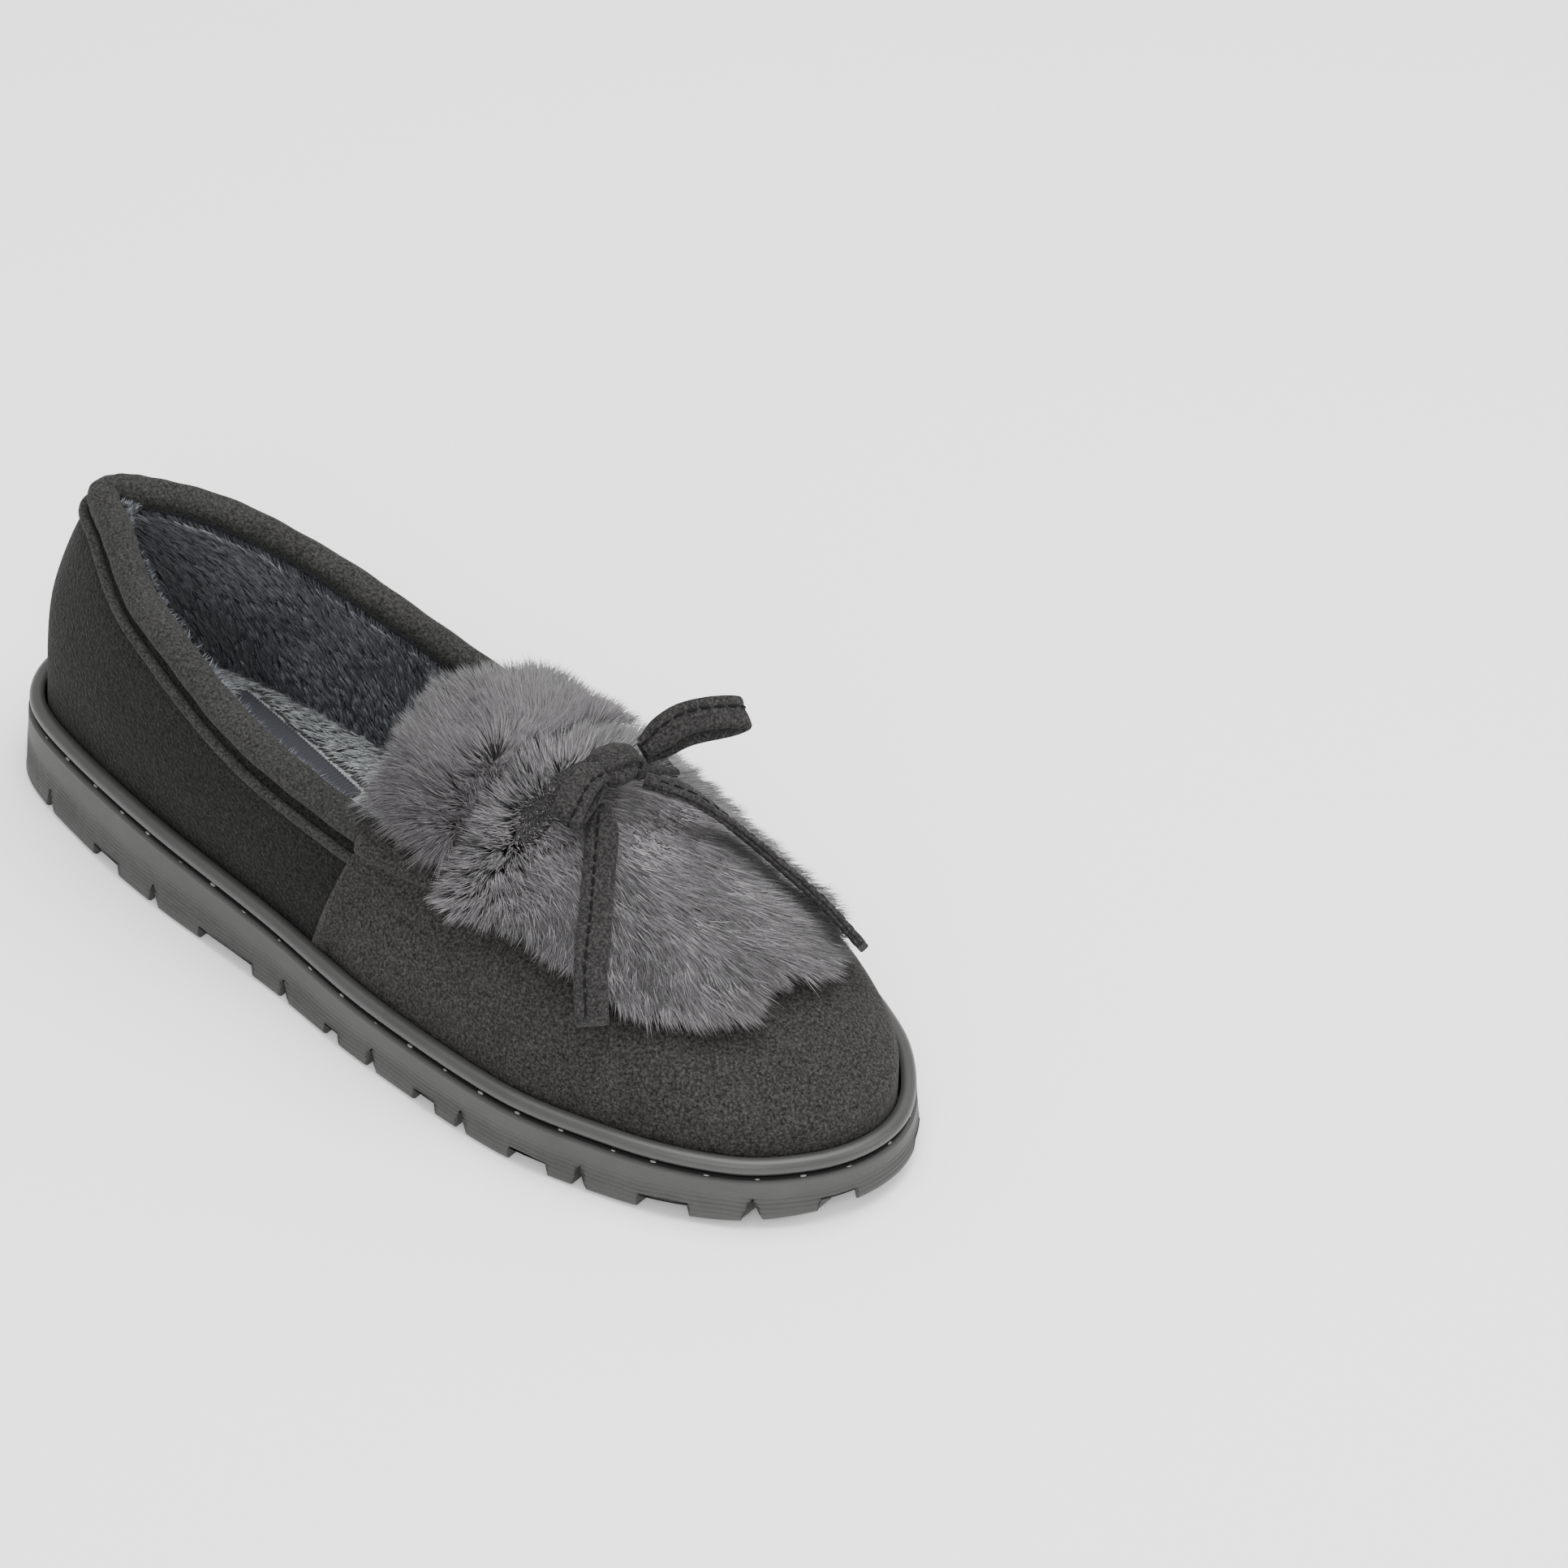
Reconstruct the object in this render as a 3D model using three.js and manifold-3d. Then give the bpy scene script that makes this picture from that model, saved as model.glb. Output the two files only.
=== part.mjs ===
// A fluffy house slipper for the right foot: cup sole, insole, two-part suede upper,
// plush lining, padded collar, fur flap with a loose rear lip, and a tied lace bow.
//
// Millimetres. +X runs from heel to toe, +Y to the inner (medial) side of the foot, +Z up.
// The origin is on the floor, under the middle of the sole.

import * as THREE from 'three';
import { mergeVertices } from 'three/addons/utils/BufferGeometryUtils.js';
import Module from 'manifold-3d';

const wasm = await Module();
wasm.setup();

// ---- Driving dimensions ----------------------------------------------------------------

const SOLE_LENGTH = 255;            // heel to toe at the stitch groove
const CLEARANCE = 0.35;             // gap kept between two pieces that touch

// Half widths of the sole at the stitch groove, at these fractions of its length.
const WIDTH_STATIONS = [0, 0.04, 0.12, 0.25, 0.4, 0.55, 0.7, 0.82, 0.92, 0.975, 1];
const LATERAL_WIDTHS = [0, 19.7, 27.6, 34.8, 39.2, 45.3, 48.1, 43.2, 33.1, 19.1, 0];
const MEDIAL_WIDTHS = [0, 16.6, 26.1, 30.3, 32, 37, 42.5, 40, 30, 17, 0];

// The origin's place, measured from the heel and from the line that the widths count from.
const MIDDLE_X = SOLE_LENGTH / 2;
const MIDDLE_Y = (Math.max(...MEDIAL_WIDTHS) - Math.max(...LATERAL_WIDTHS)) / 2;

const GROOVE_HEIGHT_HEEL = 19.6;
const GROOVE_HEIGHT_TOE = 13.8;
const GROOVE_DEPTH = 1.5;
const TOE_SPRING = 3.7;             // how far the toe's tip curls up
const TOE_SPRING_START = 0.78;
const CUP_WALL = 3.2;
const CUP_FLOOR_BELOW_GROOVE = 5;
const CHANNEL_DEPTH = 3.2;          // tread channels between the lugs
const SIPE_WIDTH = 1.8;
const SIPE_HEIGHT = 6;
const SIPE_REACH = 5;

// Tread channels run across the sole between these distances from the heel.
const CHANNELS = [[41, 51], [80, 99], [125, 130], [155, 162], [184, 194], [216, 227], [249, 253]];
const SIPES = [22, 64, 110, 141, 170, 202, 239];

// The rim of the foot opening, and the shoulder line that carries on from it to the toe.
const RIM_HEEL_X = 17.5;
const SHOULDER_TOE_X = 243;
const RIM_STATIONS = [0, 0.036, 0.151, 0.363, 0.605, 0.716, 0.852, 0.961, 1];
const RIM_LATERAL = [0, 7, 21.1, 29.4, 30.4, 33, 29.5, 18, 0];
const RIM_MEDIAL = [0, 7, 21.1, 29.4, 29.6, 31, 28.5, 17, 0];
const RIM_HEIGHTS = [78.8, 78.6, 71, 56.4, 48, 43.5, 36, 29, 27];

// The ridge of the instep, from above the opening down to the toe cap.
const RIDGE_STATIONS = [40, 120, 150, 165, 180, 200, 222];
const RIDGE_HEIGHTS = [86, 66, 61, 57.5, 53, 45.5, 37];
const RIDGE_START_X = 36;
const LIP_ABOVE_GROOVE = 5.2;       // where the wall stops rising straight from the cup
const CROWN_RISE = 0.16;            // how far the crown swells up and out between rim and ridge
const CROWN_SWELL = 0.05;

const SHOE_AXIS_HEIGHT = 15;
const SUEDE = 1.2;
const STIFFENER_OUT = -1.85;        // offsets are from the suede's outer face, outward positive
const STIFFENER_IN = -2.5;
const LINING_OUT = -2.9;
const LINING_IN = -5.6;
const UPPER_INSET = CUP_WALL + 0.7;
const WALL_BULGE = 2.2;             // how far the wall swells out between sole and rim
const HEEL_BULGE = 5.5;
const SEAM_BOTTOM_X = 115;
const SEAM_TOP_X = 128;
const SEAM_GAP = 0.004;             // radians left open between vamp and quarter
const COUNTER_REACH = 0.92;         // radians that the heel counter wraps to each side
const PUFF_REACH = 0.8;
const THROAT_X = 150;
const ROLL_RADIUS = 4;
const RIM_AT = 0.3;                 // the rim's share of a section's length
const ROLL_ALLOWANCE = 4.9;         // the suede stops this far below the roll's centre
const ROLL_OUTSET = -1.4;           // the roll's centre, from the suede's outer face
const PIPING_RADIUS = 1.3;
const PIPING_BELOW = 7;              // the piping's distance below the roll's centre
const COLLAR_END_X = 145;

const FUR_BACKING_GAP = 0.4;
const FUR_HEIGHT = 5.2;
const FLAP_END_X = 233;
const FLAP_LATERAL_X = 203;          // where the flap's front corners lie
const FLAP_MEDIAL_X = 214;
const FLAP_SHARE = 0.82;            // the flap's half width, as a share of the crown's
const TONGUE_SHARE = 0.8;
const TONGUE_SIDE_LIFT = 5.5;       // how far the lip's sides stand over the collar
const TONGUE_LENGTH = 20;
const TONGUE_RISE = 4;
const STRAP_LIFT = 7.3;             // a strap's middle, above the suede, where it lies on fur
const STRAP_WIDTH = 7.6;
const STRAP_THICKNESS = 2.4;
const STRAP_ROUNDING = 0.7;
const STRAP_PINCH = 4.6;            // a strap's width where the knot squeezes it
const PINCH_LENGTH = 11;
const KNOT = { x: 166, y: 7, z: 71, rx: 6.2, ry: 6.4, rz: 4 };

// ---- Curves that everything is built from ----------------------------------------------

const { lerp, smoothstep, clamp } = THREE.MathUtils;

// A smooth curve through the given values that never overshoots them.
function smoothTable(xs, ys) {
  const slopes = xs.map((_, i) => (ys[i + 1] - ys[i]) / (xs[i + 1] - xs[i]));
  const tangents = xs.map((_, i) => {
    if (i === 0) return slopes[0];
    if (i === xs.length - 1) return slopes[i - 1];
    const [before, after] = [slopes[i - 1], slopes[i]];
    return before * after <= 0 ? 0 : (2 * before * after) / (before + after);
  });
  return (x) => {
    const inside = clamp(x, xs[0], xs[xs.length - 1]);
    let i = 0;
    while (i < xs.length - 2 && inside > xs[i + 1]) i += 1;
    const width = xs[i + 1] - xs[i];
    const t = (inside - xs[i]) / width;
    const rise = width * (tangents[i] * t * (1 - t) ** 2 - tangents[i + 1] * t * t * (1 - t));
    return ys[i] + (ys[i + 1] - ys[i]) * t * t * (3 - 2 * t) + rise;
  };
}

// A round end needs its widths spaced by angle: 0 is the heel's tip and PI the toe's.
const angleAt = (fraction) => Math.acos(1 - 2 * clamp(fraction, 0, 1));
const byAngle = (stations, values) => smoothTable(stations.map(angleAt), values);
const lateralWidth = byAngle(WIDTH_STATIONS, LATERAL_WIDTHS);
const medialWidth = byAngle(WIDTH_STATIONS, MEDIAL_WIDTHS);
const rimLateral = byAngle(RIM_STATIONS, RIM_LATERAL);
const rimMedial = byAngle(RIM_STATIONS, RIM_MEDIAL);
const rimHeight = byAngle(RIM_STATIONS, RIM_HEIGHTS);
const ridgeHeight = smoothTable(RIDGE_STATIONS, RIDGE_HEIGHTS);

const toeSpring = (x) => {
  const rise = (x / SOLE_LENGTH - TOE_SPRING_START) / (1 - TOE_SPRING_START);
  return TOE_SPRING * clamp(rise, 0, 1.1) ** 2;
};
const grooveHeight = (x) => {
  const blend = smoothstep(x / SOLE_LENGTH, 0.15, 0.6);
  return lerp(GROOVE_HEIGHT_HEEL, GROOVE_HEIGHT_TOE, blend);
};
const cupFloor = (x) => grooveHeight(x) - CUP_FLOOR_BELOW_GROOVE;

// The sole's outline. The angle runs from -PI to PI: 0 at the heel's tip, negative on the
// outer (lateral) side, PI at the toe's tip.
function outline(angle, outset = 0) {
  const place = (a) => {
    const around = Math.abs(a) > Math.PI ? 2 * Math.PI - Math.abs(a) : Math.abs(a);
    const medial = (a > 0) === (Math.abs(a) <= Math.PI);
    const y = medial ? medialWidth(around) : -lateralWidth(around);
    return new THREE.Vector2((SOLE_LENGTH * (1 - Math.cos(around))) / 2, y);
  };
  const step = 0.01;
  const along = place(angle + step).sub(place(angle - step)).normalize();
  return place(angle).add(new THREE.Vector2(-along.y, along.x).multiplyScalar(outset));
}

function outlinePoint(angle, outset, height) {
  const p = outline(angle, outset);
  return new THREE.Vector3(p.x, p.y, height(p.x));
}

// The rim at the angle of the outline that it stands over.
function rimPoint(angle, outset = 0) {
  const place = (a) => {
    const around = Math.abs(a);
    const y = a > 0 ? rimMedial(around) : -rimLateral(around);
    const x = lerp(RIM_HEEL_X, SHOULDER_TOE_X, (1 - Math.cos(around)) / 2);
    return new THREE.Vector3(x, y, rimHeight(around));
  };
  const step = 0.01;
  const along = place(angle + step).sub(place(angle - step));
  const out = new THREE.Vector3(-along.y, along.x, 0).normalize();
  return place(angle).addScaledVector(out, outset);
}

const rimAngle = (x) => angleAt((x - RIM_HEEL_X) / (SHOULDER_TOE_X - RIM_HEEL_X));
const baseAngle = (x) => angleAt(x / SOLE_LENGTH);

// One cross-section of the suede's outer face, from the lateral sole edge over the instep
// to the medial sole edge. The cup's lip is at 0.1, the rim at 0.3 and the ridge at 0.5.
const sectionCache = new Map();
function section(around) {
  if (sectionCache.has(around)) return sectionCache.get(around);
  const ridgeX = lerp(RIDGE_START_X, RIDGE_STATIONS.at(-1), (1 - Math.cos(around)) / 2);
  const ridge = new THREE.Vector3(ridgeX, 0, ridgeHeight(ridgeX));
  const half = (side) => {
    const base = outlinePoint(side * around, -UPPER_INSET, (x) => cupFloor(x) + CLEARANCE);
    const rim = rimPoint(side * around, -ROLL_OUTSET);
    const away = new THREE.Vector3(base.x - ridge.x, base.y - ridge.y, 0).normalize();
    const lip = outlinePoint(side * around, -UPPER_INSET, (x) => grooveHeight(x) + LIP_ABOVE_GROOVE);
    const bulge = lerp(HEEL_BULGE, WALL_BULGE, smoothstep(around, 0, 1.3));
    const wall = lip.clone().lerp(rim, 0.5).addScaledVector(away, bulge);
    const crown = rim.clone().lerp(ridge, 0.5);
    crown.z += CROWN_RISE * (ridge.z - rim.z);
    crown.addScaledVector(away, CROWN_SWELL * Math.hypot(rim.x - ridge.x, rim.y - ridge.y));
    return [base, lip, wall, rim, crown];
  };
  const points = [...half(-1), ridge, ...half(1).reverse()];
  const curve = new THREE.CatmullRomCurve3(points, false, 'centripetal');
  curve.sharePerMm = [[2, 3], [8, 7]].map(([wall, rim]) => 0.1 / points[wall].distanceTo(points[rim]));
  sectionCache.set(around, curve);
  return curve;
}

const upperPoint = (around, across) => section(around).getPoint(across);

// The place in a section that lies a distance below the rim, measured along the wall.
function belowRim(around, distance, medial) {
  const across = RIM_AT - distance * section(around).sharePerMm[medial ? 1 : 0];
  return medial ? 1 - across : across;
}

// The outward direction of the upper's face.
function upperNormal(around, across) {
  const forward = upperPoint(around + 0.02, across).sub(upperPoint(around - 0.02, across));
  const over = upperPoint(around, across + 0.005).sub(upperPoint(around, across - 0.005));
  return forward.cross(over).normalize();
}

// A point on one side's wall: height 0 is the cup's floor and 1 the edge under the roll.
function wallPoint(around, height, medial) {
  const top = belowRim(around, ROLL_ALLOWANCE, medial);
  return upperPoint(around, medial ? 1 - height * (1 - top) : height * top);
}

const crownAcross = (around, share) =>
  lerp(0.5, belowRim(around, ROLL_ALLOWANCE, share > 0), Math.abs(share));

// A point on the crown: -1 is the lateral wall's edge, 0 the ridge and 1 the medial edge.
function crownPoint(around, share) {
  return upperPoint(around, crownAcross(around, share));
}

// A point that lies over the crown by a given lift, at the angle that a rim x stands for.
function overCrown(x, share, lift) {
  const around = rimAngle(x);
  const across = crownAcross(around, share);
  return upperPoint(around, across).addScaledVector(upperNormal(around, across), lift);
}

// ---- Mesh helpers ----------------------------------------------------------------------

function indexed(positions, triangles) {
  const raw = new THREE.BufferGeometry();
  raw.setAttribute('position', new THREE.Float32BufferAttribute(positions, 3));
  raw.setIndex(triangles);
  const merged = mergeVertices(raw, 1e-3);
  const kept = [];
  const index = merged.index.array;
  for (let i = 0; i < index.length; i += 3) {
    const [a, b, c] = [index[i], index[i + 1], index[i + 2]];
    if (a !== b && b !== c && c !== a) kept.push(a, b, c);
  }
  merged.setIndex(kept);
  return merged;
}

// Grids of points, each given row by row, as one open sheet joined where they meet.
function sheet(...grids) {
  const positions = [];
  const triangles = [];
  grids.forEach((rows) => {
    const first = positions.length / 3;
    const columns = rows[0].length;
    positions.push(...rows.flat().flatMap((p) => p.toArray()));
    for (let i = 0; i < rows.length - 1; i += 1) {
      for (let j = 0; j < columns - 1; j += 1) {
        const a = first + i * columns + j;
        const c = a + columns;
        triangles.push(a, a + 1, c + 1, a, c + 1, c);
      }
    }
  });
  return indexed(positions, triangles);
}

// Gives a sheet a thickness, between two offsets along its own normals, and closes its edges.
// Its outer side is the one that looks away from the middle of the shoe.
function thicken(open, outer, inner) {
  const position = open.attributes.position;
  const index = Array.from(open.index.array);
  const point = (i) => new THREE.Vector3().fromBufferAttribute(position, i);
  let outward = 0;
  for (let i = 0; i < index.length; i += 3) {
    const [a, b, c] = [point(index[i]), point(index[i + 1]), point(index[i + 2])];
    const away = new THREE.Vector3(0, a.y, a.z - SHOE_AXIS_HEIGHT);
    outward += b.sub(a).cross(c.sub(a)).dot(away);
  }
  if (outward < 0) index.reverse();
  const normals = Array.from({ length: position.count }, () => new THREE.Vector3());
  for (let i = 0; i < index.length; i += 3) {
    const [a, b, c] = [index[i], index[i + 1], index[i + 2]];
    const face = point(b).sub(point(a)).cross(point(c).sub(point(a)));
    [a, b, c].forEach((v) => normals[v].add(face));
  }
  normals.forEach((n) => n.normalize());
  const count = position.count;
  const positions = [outer, inner].flatMap((offset) =>
    normals.flatMap((n, i) => point(i).addScaledVector(n, offset).toArray()));
  const triangles = [];
  const edges = new Map();
  for (let i = 0; i < index.length; i += 3) {
    const [a, b, c] = [index[i], index[i + 1], index[i + 2]];
    triangles.push(a, b, c, c + count, b + count, a + count);
    [[a, b], [b, c], [c, a]].forEach(([p, q]) => {
      if (edges.has(`${q},${p}`)) edges.delete(`${q},${p}`);
      else edges.set(`${p},${q}`, [p, q]);
    });
  }
  edges.forEach(([p, q]) => triangles.push(q, p, p + count, q, p + count, q + count));
  return finished(positions, triangles);
}

// A body that passes through rings of points; a closed one joins its last ring to its first.
function loft(rings, closed = false) {
  const sides = rings[0].length;
  const positions = rings.flat().flatMap((p) => p.toArray());
  const triangles = [];
  const spans = closed ? rings.length : rings.length - 1;
  for (let i = 0; i < spans; i += 1) {
    const next = ((i + 1) % rings.length) * sides;
    for (let j = 0; j < sides; j += 1) {
      const k = (j + 1) % sides;
      triangles.push(i * sides + j, i * sides + k, next + k);
      triangles.push(i * sides + j, next + k, next + j);
    }
  }
  if (!closed) {
    const caps = capTriangles(rings[0]);
    const last = (rings.length - 1) * sides;
    caps.forEach(([a, b, c]) => triangles.push(c, b, a, a + last, b + last, c + last));
  }
  return finished(positions, triangles);
}

// Triangles that fill a ring, whatever plane it lies in.
function capTriangles(ring) {
  const centre = ring.reduce((sum, p) => sum.add(p), new THREE.Vector3()).divideScalar(ring.length);
  const normal = new THREE.Vector3();
  ring.forEach((p, i) => {
    const q = ring[(i + 1) % ring.length];
    normal.add(p.clone().sub(centre).cross(q.clone().sub(centre)));
  });
  const turn = new THREE.Quaternion();
  turn.setFromUnitVectors(normal.normalize(), new THREE.Vector3(0, 0, 1));
  const flat = ring.map((p) => {
    const q = p.clone().sub(centre).applyQuaternion(turn);
    return new THREE.Vector2(q.x, q.y);
  });
  return THREE.ShapeUtils.triangulateShape(flat, []);
}

// Merges a closed body's vertices and turns its faces outward.
function finished(positions, triangles) {
  const geometry = indexed(positions, triangles);
  const position = geometry.attributes.position;
  const index = geometry.index.array;
  const at = (i) => new THREE.Vector3().fromBufferAttribute(position, index[i]);
  let volume = 0;
  for (let i = 0; i < index.length; i += 3) volume += at(i).dot(at(i + 1).cross(at(i + 2)));
  if (volume < 0) geometry.setIndex(Array.from(index).reverse());
  return geometry;
}

function toManifold(geometry) {
  const plain = geometry.clone();
  plain.deleteAttribute('normal');
  plain.deleteAttribute('uv');
  const merged = mergeVertices(plain);
  const vertProperties = new Float32Array(merged.attributes.position.array);
  const triVerts = new Uint32Array(merged.index.array);
  return new wasm.Manifold(new wasm.Mesh({ numProp: 3, vertProperties, triVerts }));
}

function fromManifold(solid) {
  const mesh = solid.getMesh();
  const geometry = new THREE.BufferGeometry();
  geometry.setAttribute('position', new THREE.Float32BufferAttribute(mesh.vertProperties, 3));
  geometry.setIndex(Array.from(mesh.triVerts));
  return geometry;
}

const steps = (count, from, to) =>
  Array.from({ length: count + 1 }, (_, i) => lerp(from, to, i / count));

// Sweeps a flat section along frames that each hold a place and two directions.
const sweep = (frames, outlineOf, closed = false) => loft(frames.map(({ place, side, up }) =>
  outlineOf.map(([a, b]) => place.clone().addScaledVector(side, a).addScaledVector(up, b))), closed);

const circle = (radius, sides) => steps(sides - 1, 0, (2 * Math.PI * (sides - 1)) / sides)
  .map((a) => [radius * Math.cos(a), radius * Math.sin(a)]);

// ---- Sole ------------------------------------------------------------------------------

const OUTLINE_STEPS = 64;
const outlineAngles = steps(OUTLINE_STEPS, -Math.PI, Math.PI).slice(0, -1);
const ringAt = (outset, height) => outlineAngles.map((a) => outlinePoint(a, outset, height));

// Fills a ring straight across, from the lateral edge to the medial edge.
function acrossCap(first, count, flip) {
  const triangles = [];
  const half = count / 2;
  for (let k = 0; k < half; k += 1) {
    const lateral = [half - k, half - k - 1];
    const medial = [(half + k) % count, (half + k + 1) % count];
    const corners = [lateral[0], lateral[1], medial[1], medial[0]].map((i) => first + i);
    const [a, b, c, d] = flip ? corners.reverse() : corners;
    if (a !== d) triangles.push(a, c, d);
    triangles.push(a, b, c);
  }
  return triangles;
}

function layered(rings) {
  const sides = rings[0].length;
  const triangles = [];
  for (let i = 0; i < rings.length - 1; i += 1) {
    for (let j = 0; j < sides; j += 1) {
      const k = (j + 1) % sides;
      const next = (i + 1) * sides;
      triangles.push(i * sides + j, next + k, i * sides + k);
      triangles.push(i * sides + j, next + j, next + k);
    }
  }
  triangles.push(...acrossCap(0, sides, true));
  triangles.push(...acrossCap((rings.length - 1) * sides, sides, false));
  return finished(rings.flat().flatMap((p) => p.toArray()), triangles);
}

// The cup sole: flared side wall, stitch groove, round bead and the cup that holds the upper.
function cupSole() {
  const wall = (share) => (x) => lerp(toeSpring(x), grooveHeight(x), share);
  const above = (rise) => (x) => grooveHeight(x) + rise;
  const profile = [
    [0.9, toeSpring],
    [1.7, (x) => toeSpring(x) + 1.3],
    [0.7, wall(0.55)],
    [0, above(-1)],
    [-GROOVE_DEPTH, above(-0.8)],
    [-GROOVE_DEPTH, above(0.8)],
    [0.2, above(1)],
    [0.9, above(2.7)],
    [-0.3, above(4.4)],
    [-2.4, above(4.7)],
    [-CUP_WALL, above(3.6)],
    [-CUP_WALL, cupFloor],
  ];
  return layered(profile.map(([outset, height]) => ringAt(outset, height)));
}

function channelCutter([from, to]) {
  const top = toeSpring((from + to) / 2) + CHANNEL_DEPTH;
  const box = new THREE.BoxGeometry(to - from, 140, top + 10);
  return box.translate((from + to) / 2, 0, (top - 10) / 2);
}

// A V-shaped slit in the sole's edge, open at the bottom.
function sipeCutter(x, side) {
  const base = toeSpring(x) - 1;
  const notch = new THREE.Shape([
    new THREE.Vector2(-SIPE_WIDTH / 2, base),
    new THREE.Vector2(SIPE_WIDTH / 2, base),
    new THREE.Vector2(0, base + SIPE_HEIGHT + 1),
  ]);
  const cutter = new THREE.ExtrudeGeometry(notch, { depth: SIPE_REACH * 2, bevelEnabled: false });
  const edge = outline(side * baseAngle(x), 0);
  const inward = outline(side * baseAngle(x), -1).sub(edge);
  cutter.translate(0, 0, -SIPE_REACH).rotateX(Math.PI / 2);
  cutter.rotateZ(Math.atan2(inward.y, inward.x) - Math.PI / 2);
  return cutter.translate(edge.x, edge.y, 0);
}

function outsole() {
  const sipes = SIPES.flatMap((x) => [sipeCutter(x, -1), sipeCutter(x, 1)]);
  return fromManifold([...CHANNELS.map(channelCutter), ...sipes]
    .reduce((solid, cutter) => solid.subtract(toManifold(cutter)), toManifold(cupSole())));
}

function stitchThread() {
  const frames = outlineAngles.map((a) => {
    const place = outlinePoint(a, -GROOVE_DEPTH + 0.75, grooveHeight);
    const side = outlinePoint(a, 1, grooveHeight).sub(outlinePoint(a, 0, grooveHeight));
    return { place, side: side.normalize(), up: new THREE.Vector3(0, 0, 1) };
  });
  return sweep(frames, circle(0.42, 4), true);
}

// A flat layer inside the cup, between two heights above its floor.
function insoleLayer(outset, low, high) {
  const rings = [low, high].map((rise) =>
    outlineAngles.filter((_, i) => i % 2 === 0)
      .map((a) => outlinePoint(a, outset, (x) => cupFloor(x) + rise)));
  return layered(rings);
}

const INSOLE_INSET = UPPER_INSET - LINING_IN + 0.6;
const BOARD = [CLEARANCE, 1.9];
const FOAM = [2.2, 6.2];
const SOCK = [6.5, 8.8];
const LABEL_GAP = 0.4;

// A woven ribbon label sewn to the sock.
function sockLabel() {
  const [start, end, width] = [[43, 0], [89, -9], [3, 15]];
  return loft(steps(8, 0, 1).map((t) => {
    const x = lerp(start[0], end[0], t);
    const y = lerp(start[1], end[1], t);
    const corner = (share, rise) =>
      new THREE.Vector3(x + share * width[0], y + share * width[1], cupFloor(x) + SOCK[1] + rise);
    return [corner(0, LABEL_GAP), corner(1, LABEL_GAP), corner(1, 0.9), corner(0, 0.9)];
  }));
}

// ---- Upper -----------------------------------------------------------------------------

const seamAround = (height) => lerp(baseAngle(SEAM_BOTTOM_X), rimAngle(SEAM_TOP_X), height);

// The wall that wraps the heel, between two heights, as far round as reach says.
const heelSheet = (low, high, columns, rows, reach) => sheet(steps(rows, low, high)
  .map((height) => steps(columns, -1, 1)
    .map((s) => wallPoint(Math.abs(s) * reach(height), height, s > 0))));

// The front of the upper. Its rear edge follows the seams, then the rim, then the throat.
function frontSheet(wallRows, crownRows, columns) {
  const throat = rimAngle(THROAT_X);
  const heights = steps(wallRows, 0, 1);
  const beside = (medial) => heights.map((height) => steps(3, seamAround(height) + SEAM_GAP, throat)
    .map((around) => wallPoint(around, height, medial)));
  const ahead = (place) => steps(columns, throat, Math.PI).map(place);
  const wall = (medial) => heights
    .map((height) => ahead((around) => wallPoint(around, height, medial)));
  const crown = steps(2 * crownRows, -1, 1)
    .map((share) => ahead((around) => crownPoint(around, share)));
  const middle = [...wall(false), ...crown.slice(1, -1), ...wall(true).reverse()];
  return sheet(beside(false), middle, beside(true).reverse());
}

const vamp = () => thicken(frontSheet(4, 5, 12), 0, -SUEDE);
const vampLining = () => thicken(frontSheet(3, 4, 11), LINING_OUT, LINING_IN);
const quarter = () => thicken(heelSheet(0, 1, 36, 5, seamAround), 0, -SUEDE);
const quarterLining = () => thicken(heelSheet(0, 1, 30, 4, seamAround), LINING_OUT, LINING_IN);
const heelCounter = () =>
  thicken(heelSheet(0.08, 0.72, 24, 5, () => COUNTER_REACH), STIFFENER_OUT, STIFFENER_IN);

function toePuff() {
  const rows = steps(4, 0.08, 0.9).map((height) => steps(22, -1, 1)
    .map((s) => wallPoint(Math.PI - Math.abs(s) * PUFF_REACH, height, s > 0)));
  return thicken(sheet(rows), STIFFENER_OUT, STIFFENER_IN);
}

// ---- Collar ----------------------------------------------------------------------------

function collarFrames(count, endX) {
  return steps(count, -rimAngle(endX), rimAngle(endX)).map((a) => {
    const place = rimPoint(a, 0);
    const side = rimPoint(a, 1).sub(rimPoint(a, 0)).normalize();
    const along = rimPoint(a + 0.01).sub(rimPoint(a - 0.01)).normalize();
    const up = side.clone().cross(along).normalize();
    if (up.z < 0) up.negate();
    return { place, side, up };
  });
}

// The roll's suede: a thin C around the foam, open at the bottom where it is sewn down.
function rollSection(outer, inner, sides) {
  const sweepOf = steps(sides, -1.15, Math.PI + 1.15);
  const arc = (radius) => sweepOf.map((a) => [radius * Math.cos(a), radius * Math.sin(a)]);
  return [...arc(outer), ...arc(inner).reverse()];
}

const collarBinding = () =>
  sweep(collarFrames(36, COLLAR_END_X), rollSection(ROLL_RADIUS, ROLL_RADIUS - 0.9, 7));
const collarFoam = () =>
  sweep(collarFrames(34, COLLAR_END_X - 1), circle(ROLL_RADIUS - 1.3, 6));

// The piping lies on the suede's face, just under the roll.
function collarPiping() {
  const lift = PIPING_RADIUS + CLEARANCE;
  const at = (a) => {
    const around = Math.max(Math.abs(a), 0.02);
    const across = belowRim(around, PIPING_BELOW, a > 0);
    return { place: upperPoint(around, across), side: upperNormal(around, across) };
  };
  const reach = rimAngle(SEAM_TOP_X - 3);
  const frames = steps(40, -reach, reach).map((a) => {
    const { place, side } = at(a);
    const along = at(a + 0.04).place.sub(at(a - 0.04).place).normalize();
    const up = side.clone().cross(along).normalize();
    return { place: place.addScaledVector(side, lift), side, up };
  });
  return sweep(frames, circle(PIPING_RADIUS, 5));
}

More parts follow.
